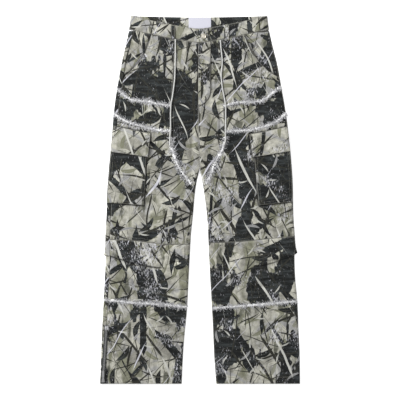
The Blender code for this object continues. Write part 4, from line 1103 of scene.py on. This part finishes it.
for side, x in (("left", -LOOP_PLACE), ("right", LOOP_PLACE)):
    band = "waistband_front_" + side
    surface = surface_of(band, "centre_front_" + side, "hip_front_" + side)
    edge = outline_of(band)
    near = edge[np.abs(edge[:, 0] - x) < 0.004, 1]
    top, low = near.max() - 0.0008, near.min() - LOOP_BELOW
    corners, gaps = [], []
    for share in np.arange(LOOP_ROWS + 1) / LOOP_ROWS:
        y = top + (low - top) * share
        stand = LOOP_STAND * smooth_step(np.array([share, 1 - share]), 0.06, 0.30).min()
        height = height_at(surface, x, y) + stand + 0.0002 + CLOTH
        for spot in np.arange(LOOP_COLUMNS + 1) / LOOP_COLUMNS:
            across = (spot - 0.5) * LOOP_WIDTH * (1 - 0.04 * math.sin(3.1 * share))
            corners.append((x + across, y, height + LOOP_CROWN * (1 - (2 * spot - 1) ** 2)))
            gaps.append(LOOP_WIDTH / 2 - abs(across))
    row = LOOP_COLUMNS + 1
    starts = [row * i + k for i in range(LOOP_ROWS) for k in range(LOOP_COLUMNS)]
    faces = [[a, a + row, a + row + 1, a + 1] for a in starts]
    upper = np.array(corners)
    loop = closed_shell("belt_loop_" + side, upper, upper - (0, 0, CLOTH), faces, printed_twill)
    print_map(loop.data, (26.3, 4.4 + x * 9))
    edge_attributes(loop.data, gaps * 2)
    cloth_pieces[loop.name] = loop
    of_jeans(loop, "printed_twill")
    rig.sheet(loop, flat=(LOOP_WIDTH, float(top - low)), held="laid", rests_on=[band])


# ------------------------------------------------------------
# The label inside the back waistband: a bare piece of woven satin ribbon, sewn down at its ends.
label_satin, tree, _ = material("label_satin", Roughness=0.42, Sheen_Weight=0.25)
weave = use_group(tree, twill, Place=own_uv(tree), Pitch=0.0006)
tone = blended(ramp(weave["Slub"], 0.3, 0.7), (0.49, 0.49, 0.56), (0.55, 0.55, 0.62))
# Painted shade: the ribbon is darker within 1.6 mm of its edges.
tone = blended(ramp(carried(tree, "from_edge"), 0.0, 0.0016, 0.55, 0.0), tone, (0.44, 0.44, 0.50))
finish(tree, tone, weave["Height"], 0.25, 0.0002)
shape = {"roll": 0.0002, "pucker": 0.0, "thickness": 0.0007, "grid": 0.002}
cut_piece("label_blank", ["waistband_back"], paint=label_satin, slot="label_satin", **shape)


# ------------------------------------------------------------
# The waist button: a cast brass shank button with a raised rim and a dished face, pressed through
# the waistband. It is unevenly tarnished and dark in a narrow groove 4.9 mm from its centre.
BUTTON_CENTRE = (0.0105, 0.4735)
GROOVE_RADIUS = 0.0049

button_metal, tree, position = material("button_metal", Roughness=0.45, Metallic=0.7)
inputs = {0: position, "Location": (-BUTTON_CENTRE[0], -BUTTON_CENTRE[1], 0), "Scale": (1, 1, 0)}
centred = add(tree, "Mapping", inputs).outputs[0]
radius = add(tree, "VectorMath", {0: centred}, operation="LENGTH").outputs["Value"]
tarnish = mist(position, 420.0, 4.0)
tone = blended(ramp(tarnish, 0.35, 0.7), (0.60, 0.56, 0.47), (0.72, 0.70, 0.63))
groove = ramp(calc("ABSOLUTE", minus(radius, GROOVE_RADIUS)), 0.0, 0.0007, 0.75, 0.0)
tone = blended(groove, tone, (0.20, 0.15, 0.08))
height = calc("MULTIPLY_ADD", zigzag(times(radius, 1600.0), 0.5), 0.4, tarnish)
finish(tree, tone, height, 0.25, 0.0002, ramp(tarnish, 0.3, 0.7, 0.38, 0.55))


def dress(node, paint):
    """Give a solid that stays as it is its finish."""
    materials = frame["nodes"][node].data.materials
    materials.clear()
    materials.append(paint)


dress("waist_button", button_metal)


# ------------------------------------------------------------
# The raw seams: the cloth's torn edges stand out as a woolly fringe of loose off-white threads. It
# runs across each thigh twice, down the curved seam to the crotch and across each shin.
RISE_SEAM = {"core_width": 0.0036, "spread": 0.0088}
CROSS_SEAM = {"core_width": 0.0032, "spread": 0.0038}
RISE_SPAN = (0.350, 0.489)
SEAM_GAP = 0.0025
THREAD_PITCH = 0.00016
THREAD_RADIUS = 0.00032
# The core's section: how far out each place lies, and how high.
CORE = ((-1.0, 0.0001), (-0.6, 0.7), (0.0, 1.0), (0.6, 0.7), (1.0, 0.0001))

raw_edge, tree, position = material("raw_edge", Roughness=0.96, Sheen_Weight=0.3)
tuft = mist(position, 1500.0)
tone = blended(ramp(mist(position, 260.0, 3.0), 0.35, 0.65), (0.36, 0.36, 0.38), (0.78, 0.78, 0.80))
tone = blended(ramp(tuft, 0.45, 0.72, 0.0, 0.5), tone, (0.17, 0.17, 0.16))
finish(tree, tone, tuft, 0.6, 0.0004)


def line_tree(name, inputs):
    """A tree that works at an even pitch along lines: its sockets, itself, places and headings."""
    inputs = "Geometry:Geometry Pitch " + inputs + " Finish:Material"
    given, out, tree = node_group("Geometry", name, inputs, "Geometry:Geometry")
    path = add(tree, "GeometryNodeMeshToCurve", {"Mesh": given["Geometry"]}).outputs[0]
    inputs = {"Curve": path, "Length": given["Pitch"]}
    path = add(tree, "GeometryNodeResampleCurve", inputs, mode="LENGTH").outputs[0]
    points = add(tree, "GeometryNodeCurveToPoints", {"Curve": path}, mode="EVALUATED").outputs
    return given, out, tree, points[0], points["Tangent"]


def heading(way, axis):
    """The turn that points an axis in a direction."""
    return add(way.id_data, "FunctionNodeAlignRotationToVector", {"Vector": way}, axis=axis).outputs[0]


def strand(curve, radius, sides):
    """A thread or wire along a curve."""
    tree = curve.id_data
    inputs = {"Resolution": sides, "Radius": radius}
    ring = add(tree, "GeometryNodeCurvePrimitiveCircle", inputs).outputs[0]
    inputs = {"Curve": curve, "Profile Curve": ring, "Fill Caps": True}
    return add(tree, "GeometryNodeCurveToMesh", inputs).outputs[0]


def arc_of(tree, steps, start, middle, end):
    """A bent line of a few steps."""
    inputs = {"Resolution": steps, "Start": start, "Middle": middle, "End": end}
    return add(tree, "GeometryNodeCurveQuadraticBezier", inputs).outputs[0]


def set_out(given, out, points, shape, turn, **inputs):
    """End a tree with shapes set on points, made real and given their finish."""
    tree = points.id_data
    inputs = {"Points": points, "Instance": shape, "Rotation": turn, **inputs}
    copies = add(tree, "GeometryNodeInstanceOnPoints", inputs).outputs[0]
    real = add(tree, "GeometryNodeRealizeInstances", {0: copies}).outputs[0]
    inputs = {"Geometry": real, "Material": given["Finish"]}
    feed(out["Geometry"], add(tree, "GeometryNodeSetMaterial", inputs).outputs[0])


def grown(name, tree, lines, **sizes):
    """The plain piece that a tree makes along some lines."""
    points, edges = [], []
    for line in lines:
        edges += [(len(points) + i, len(points) + i + 1) for i in range(len(line) - 1)]
        points += line.tolist()
    mesh = bpy.data.meshes.new(name + "_lines")
    mesh.from_pydata(points, edges, [])
    carrier = put(name + "_lines", mesh)
    modifier = carrier.modifiers.new("make", "NODES")
    modifier.node_group = tree
    for item in tree.interface.items_tree:
        if item.in_out == "INPUT" and item.name in sizes:
            modifier[item.identifier] = sizes[item.name]
    bpy.context.view_layer.update()
    made = carrier.evaluated_get(bpy.context.evaluated_depsgraph_get())
    result = bpy.data.meshes.new_from_object(made)
    result.name = name
    carrier.modifiers.remove(modifier)
    bpy.data.objects.remove(carrier)
    return put(name, result)


given, out, threads, points, tangent = line_tree("loose_threads", "Spread Radius Seed:Int")
across = vectors("CROSS_PRODUCT", tangent, (0, 0, 1))


def drawn(low, high, step):
    """A number drawn for each thread."""
    inputs = {2: low, 3: high, "Seed": plus(given["Seed"], step)}
    return add(threads, "FunctionNodeRandomValue", inputs, data_type="FLOAT").outputs[1]


offset = vectors("SCALE", across, times(drawn(-1.0, 1.0, 1), given["Spread"]))
lift = add(threads, "CombineXYZ", {2: drawn(0.0002, 0.0011, 2)}).outputs[0]
moved = {"Geometry": points, "Offset": vectors("ADD", offset, lift)}
points = add(threads, "GeometryNodeSetPosition", moved).outputs[0]
half_turn = times(calc("GREATER_THAN", drawn(0.0, 1.0, 6), 0.5), math.pi)
turns = {0: drawn(-0.5, 0.5, 3), 1: drawn(-0.14, 0.10, 4), 2: plus(drawn(-1.1, 1.1, 5), half_turn)}
spin = add(threads, "CombineXYZ", turns).outputs[0]
inputs = {"Rotation": heading(across, "X"), "Rotate By": spin}
facing = add(threads, "FunctionNodeRotateRotation", inputs, rotation_space="LOCAL").outputs[0]
shapes = add(threads, "GeometryNodeJoinGeometry")
for middle, end in (
    ((0.0028, 0.0016, 0.0009), (0.0052, 0.0003, 0.0)),
    ((0.0022, -0.0022, 0.0012), (0.0058, -0.0012, 0.0003)),
    ((0.0018, 0.0007, 0.0014), (0.0034, 0.0028, 0.0)),
    ((0.0050, -0.0010, 0.0008), (0.0074, 0.0019, -0.0003)),
):
    one = strand(arc_of(threads, 4, (0, 0, 0), middle, end), given["Radius"], 3)
    feed(shapes.inputs[0], add(threads, "GeometryNodeGeometryToInstance", {0: one}).outputs[0])
place = add(threads, "GeometryNodeInputPosition").outputs[0]
thick = calc("GREATER_THAN", mist(place, 170.0), drawn(0.40, 0.60, 8))
choices = {"Selection": thick, "Pick Instance": True, "Scale": drawn(0.55, 1.60, 7)}
set_out(given, out, points, shapes.outputs[0], facing, **choices)


def laid(line, surface, above=0.0):
    """A line of places (x, y) laid on a surface from above."""
    result = []
    for x, y in line[:, :2]:
        height = height_at(surface, x, y)
        if height is None:
            height = result[-1][2] - above if result else 0.002
        result.append((x, y, height + above))
    return np.array(result)


def part_of(outline, chosen):
    """The run of an outline that is chosen, in order, or the whole of it, closed."""
    flat = outline[:, :2]
    if chosen.all():
        return np.concatenate([flat, flat[:1]])
    start = next(i for i in range(len(chosen)) if chosen[i] and not chosen[i - 1])
    return np.roll(flat, -start, axis=0)[np.roll(chosen, -start)]


def seam_between(first, *others):
    """The part of a piece's outline that lies against some other pieces."""
    outline = outline_of(first)
    gaps = [edge_distance(outline[:, :2], outline_of(other))[0] for other in others]
    return part_of(outline, np.min(gaps, axis=0) < SEAM_GAP)


def fringe(node, line, seed, core_width, spread):
    """The woolly fringe along one raw seam: a matted core and its loose threads, as one piece."""
    line = laid(softened(line, 0.0012), front_surface)
    side = -to_left(np.gradient(line, axis=0))
    for offset in (-0.0048, -0.0024, 0.0024, 0.0048):
        height = laid(line[:, :2] + offset * side, front_surface)[:, 2]
        line[:, 2] = np.maximum(line[:, 2], np.minimum(height, line[:, 2] + 0.002))
    line[1:-1, 2] = 0.25 * line[:-2, 2] + 0.5 * line[1:-1, 2] + 0.25 * line[2:, 2]
    body = bmesh.new()
    rings = []
    for i, (point, way) in enumerate(zip(line, side)):
        slow = 0.75 + 0.9 * grit(i * 0.07, seed, 4.0)
        sway = 0.0011 * grit(i * 0.21, seed, 9.0)
        ring = []
        for k, (offset, high) in enumerate(CORE):
            wild = grit(i * 0.41, k * 3.7, seed) + 0.5 * grit(i * 0.93, k * 1.9, seed)
            reach = core_width * offset * min(max(slow + 2.2 * wild, 0.12), 1.9)
            rise = 0.0003 + 0.0009 * high * (1 + 0.6 * grit(i * 0.8, k * 1.3, seed + 5.0))
            ring.append(body.verts.new((*(point[:2] + way * (reach + sway)), point[2] + rise)))
        ring += [body.verts.new((*corner.co.xy, point[2] - 0.0007)) for corner in ring[::-1]]
        rings.append(ring)
    for first, second in zip(rings, rings[1:]):
        for corners in zip(first, second, second[1:] + second[:1], first[1:] + first[:1]):
            body.faces.new(corners).smooth = True
    body.faces.new(rings[0][::-1])
    body.faces.new(rings[-1])
    bmesh.ops.recalc_face_normals(body, faces=body.faces)
    core = bpy.data.meshes.new(node + "_core")
    body.to_mesh(core)
    body.free()
    sizes = {"Pitch": THREAD_PITCH, "Spread": spread, "Radius": THREAD_RADIUS, "Seed": seed}
    piece = grown(node + "_threads", threads, [line], Finish=raw_edge, **sizes)
    body = bmesh.new()
    body.from_mesh(piece.data)
    body.from_mesh(core)
    body.to_mesh(piece.data)
    body.free()
    of_jeans(piece, "raw_edge", node)


lower_pieces = [node for node in cloth_pieces if "pocket" not in node and "waist" not in node]
front_surface = surface_of(*lower_pieces)


def carried_out(line, sign, rows, reach):
    """A seam line that goes on across the turned-up side to the garment's outline."""
    line = line if sign * (line[-1, 0] - line[0, 0]) > 0 else line[::-1]
    step = 0.001 * unit(line[-1] - line[-4])
    extra = [line[-1] + step]
    while sign * (np.interp(extra[-1][1], rows, reach) - extra[-1][0]) > 0.0008:
        extra.append(extra[-1] + step)
    return np.concatenate([line, np.array(extra[:-1]).reshape(-1, 2)])


LEG = ("centre_front_", "hip_front_", "thigh_band_", "thigh_front_", "knee_front_", "shin_front_")
for side, sign, limit, seed in (("left", -1, LEFT_SIDE, 11), ("right", 1, RIGHT_SIDE, 21)):
    centre, hip, band, thigh, knee, shin = (name + side for name in LEG)
    for first, second, place in ((band, hip, "upper"), (thigh, band, "lower"), (shin, knee, "shin")):
        line = carried_out(seam_between(first, second), sign, *limit)
        fringe("fray_" + place + "_" + side, line, seed, **CROSS_SEAM)
        seed += 1
    rise = seam_between(centre, hip, band, thigh)
    down = LENGTH / 2 - rise[:, 1]
    rise = rise[(down > RISE_SPAN[0]) & (down < RISE_SPAN[1])]
    fringe("fray_rise_" + side, rise, seed, **RISE_SEAM)


# ------------------------------------------------------------
# The hem zip in the left side seam: two woven tapes, a row of metal teeth on each, the slider near
# the hem and its pull tab, which swings on the slider's bail. A bar tack holds it to the cloth.
TOOTH_PITCH = 0.0016
TOOTH_REACH = 0.0013

zip_tape, tree, position = material("zip_tape", Roughness=0.88)
weave = use_group(tree, twill, Place=position, Pitch=0.0008)
tone = blended(ramp(weave["Slub"], 0.3, 0.7), (0.022, 0.024, 0.024), (0.055, 0.058, 0.056))
finish(tree, tone, weave["Height"], 0.5, 0.0003)

zip_metal, tree, position = material("zip_metal", Roughness=0.36, Metallic=1.0)
drawn_out = add(tree, "Mapping", {0: position, "Scale": (5200, 700, 2600)}).outputs[0]
brushed = mist(drawn_out, 1.0, 3.0)
tone = blended(ramp(brushed, 0.3, 0.7), (0.46, 0.46, 0.47), (0.68, 0.68, 0.68))
finish(tree, tone, brushed, 0.3, 0.0001, ramp(brushed, 0.3, 0.7, 0.26, 0.44))
dress("zip_slider", zip_metal)
dress("zip_pull_tab", zip_metal)

given, out, teeth, points, tangent = line_tree("zip_teeth", "")
ends = {"Start": (-TOOTH_REACH, 0, 0), "End": (TOOTH_REACH, 0, 0)}
tooth = strand(add(teeth, "GeometryNodeCurvePrimitiveLine", ends).outputs[0], 0.0007, 6)
set_out(given, out, points, tooth, heading(tangent, "Y"), Scale=(1, 0.72, 0.8))

tapes = ("zip_tape_back", "zip_tape_front")
shape = {"roll": 0.0, "pucker": 0.0, "thickness": 0.0008, "grid": 0.0016, "draped": False}
for node in tapes:
    cut_piece(node, ["back_panel_left"], paint=zip_tape, slot="zip_tape", **shape)
middle = softened(seam_between("zip_tape_front", "zip_tape_back")[4:-4], 0.002)
middle = laid(middle, surface_of(*tapes))
rows = [middle + (-0.0011, 0.0, 0.0002), middle + (0.0011, TOOTH_PITCH / 2, 0.0002)]
of_jeans(grown("zip_teeth", teeth, rows, Pitch=TOOTH_PITCH, Finish=zip_metal), "zip_metal")


# ------------------------------------------------------------
# The topstitching: heavy grey-green thread, sewn in lockstitch. It holds down the pockets, flaps,
# placket and waistband, runs beside the seams and closes the 20 mm hems.
EDGE_ROW = 0.0022
SECOND_ROW = 0.0082
HEM_ROWS = (0.019, 0.0205)
HEM_START = 1.04
FLY_LENGTH = 0.265
TACK_STEP = 0.0006
TACK_SWING = 0.0012
TOPSTITCH = {"Pitch": 0.0034, "Length": 0.0027, "Radius": 0.0003}
TACK_STITCH = {"Pitch": 0.0012, "Length": 0.0018, "Radius": 0.00028}

thread, tree, position = material("stitching_thread", Roughness=0.7)
ply = mist(position, 1400.0)
finish(tree, blended(ramp(ply, 0.35, 0.65), (0.12, 0.12, 0.10), (0.27, 0.265, 0.22)), ply, 0.4, 0.0002)

given, out, stitching, points, tangent = line_tree("lockstitch", "Length Radius")
ends = [times(given["Length"], half) for half in (-0.5, 0.5)]
ends = [add(stitching, "CombineXYZ", {0: end, 2: -0.0003}).outputs[0] for end in ends]
stitch = strand(arc_of(stitching, 3, ends[0], (0, 0, 0.0005), ends[1]), given["Radius"], 4)
set_out(given, out, points, stitch, heading(tangent, "X"))


def sewn(name, nodes, lines, sizes, above=0.0, finish=thread):
    """Stitches along lines that are laid on some pieces."""
    surface = surface_of(*nodes)
    rows = [laid(line, surface, above) for line in lines]
    of_jeans(grown(name, stitching, rows, Finish=finish, **sizes), "cord_cotton")


def topstitched(name, nodes, lines):
    """Rows of topstitching on some pieces."""
    sewn(name, nodes, [softened(line) for line in lines if len(line) > 3], TOPSTITCH)


def beside(line, node, *insets):
    """Rows beside a line, each moved by an inset towards the inside of a piece."""
    outline = outline_of(node)
    side = to_left(np.gradient(line, axis=0))
    middle = len(line) // 2
    if not within((line[middle] + 0.001 * side[middle])[None], outline)[0]:
        side = -side
    rows = []
    for inset in insets:
        row = line + inset * side
        gap, _ = edge_distance(row, outline)
        rows.append(row[(gap > 0.85 * inset) & within(row, outline)])
    return rows


def rows_beside(node, others, *insets):
    """Rows beside the seam of a piece with its neighbours."""
    return beside(softened(seam_between(node, *others)), node, *insets)


def rows_round(node, *insets, below=-1.0):
    """Rows along a piece's outline, or along the part of it below some height."""
    outline = outline_of(node)
    return beside(part_of(outline, LENGTH / 2 - outline[:, 1] > below), node, *insets)


def edge_over(node, below):
    """The part of a piece's outline that lies over another piece."""
    outline = outline_of(node)
    return part_of(outline, within(outline, outline_of(below)))


for side in ("left", "right"):
    centre, hip, band, thigh, knee, shin = (name + side for name in LEG)
    pocket, flap = "cargo_pocket_" + side, "cargo_flap_" + side
    topstitched("pocket_stitching_" + side, [pocket], rows_round(pocket, EDGE_ROW, SECOND_ROW))
    topstitched("flap_stitching_" + side, [flap], rows_round(flap, EDGE_ROW, SECOND_ROW))
    leg_rows = rows_beside(thigh, [knee], EDGE_ROW, 0.0078)
    leg_rows += rows_beside(centre, [hip, band, thigh], 0.0070)
    leg_rows += rows_round(shin, *HEM_ROWS, below=HEM_START)
    leg_rows += rows_beside(knee, [shin], 0.0085)
    leg_rows += beside(softened(edge_over(hip, "pocket_facing_" + side)), hip, EDGE_ROW, 0.0080)
    topstitched("leg_stitching_" + side, [centre, hip, band, thigh, knee, shin], leg_rows)


def tacked(name, nodes, places, turn, length, finish=thread):
    """Bar tacks: close zigzags of one length, turned by some degrees, about some places."""
    way = np.array((math.cos(math.radians(turn)), math.sin(math.radians(turn))))
    count = int(length / TACK_STEP)
    steps = (np.arange(count) / (count - 1) - 0.5) * length
    swings = TACK_SWING * np.where(np.arange(count) % 2, 1.0, -1.0)
    row = np.outer(steps, way) + np.outer(swings, (-way[1], way[0]))
    sewn(name, nodes, [place + row for place in places], TACK_STITCH, 0.0001, finish)


for side, sign in (("left", -1), ("right", 1)):
    flap, hip, loop = "cargo_flap_" + side, "hip_front_" + side, "belt_loop_" + side
    edge = outline_of(flap)[:, :2]
    corners = [edge[np.argmax(edge[:, 1] + lean * 0.8 * edge[:, 0])] for lean in (-1, 1)]
    places = [corner + 0.0062 * unit(edge.mean(0) - corner) for corner in corners]
    tacked("flap_tacks_" + side, [flap], places, 90.0, 0.009)
    mouth = edge_over(hip, "pocket_facing_" + side)
    middle = outline_of(hip)[:, :2].mean(0)
    places = [end + 0.006 * unit(middle - end) for end in (mouth[3], mouth[-4])]
    tacked("mouth_tacks_" + side, [hip], places, 70.0 * sign, 0.010)
    x, y, _ = corners_of(cloth_pieces[loop].data).T
    places = [np.array((x.mean(), end)) for end in (y.min() + 0.0022, y.max() - 0.0022)]
    tacked("loop_tacks_" + side, [loop], places, 0.0, 0.0095)
edge = outline_of("zip_tape_front")[:, :2]
places = [edge[np.argmax(edge[:, 1])] - (0.002, 0.003 + 0.0024 * k) for k in range(5)]
tacked("zip_tacks", tapes, places, 0.0, 0.0095, raw_edge)
topstitched("placket_stitching", ["fly_placket"], rows_round("fly_placket", EDGE_ROW, 0.0075))
crotch = rows_beside("centre_front_right", ["centre_front_left"], 0.0020, 0.0076)
crotch = [line[line[:, 1] < LENGTH / 2 - FLY_LENGTH] for line in crotch]
topstitched("crotch_stitching", ["centre_front_left", "centre_front_right"], crotch)
for side in ("left", "right"):
    node = "waistband_front_" + side
    topstitched("waistband_stitching_" + side, [node], rows_round(node, EDGE_ROW))


# ------------------------------------------------------------
# Size and finish.
visual_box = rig.bounds()
with open("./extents.json", "w") as sheet:
    boxes = {
        "solids": [[float(value) for value in corner] for corner in solid_box],
        "looks": [[float(value) for value in corner] for corner in visual_box],
    }
    json.dump(boxes, sheet)
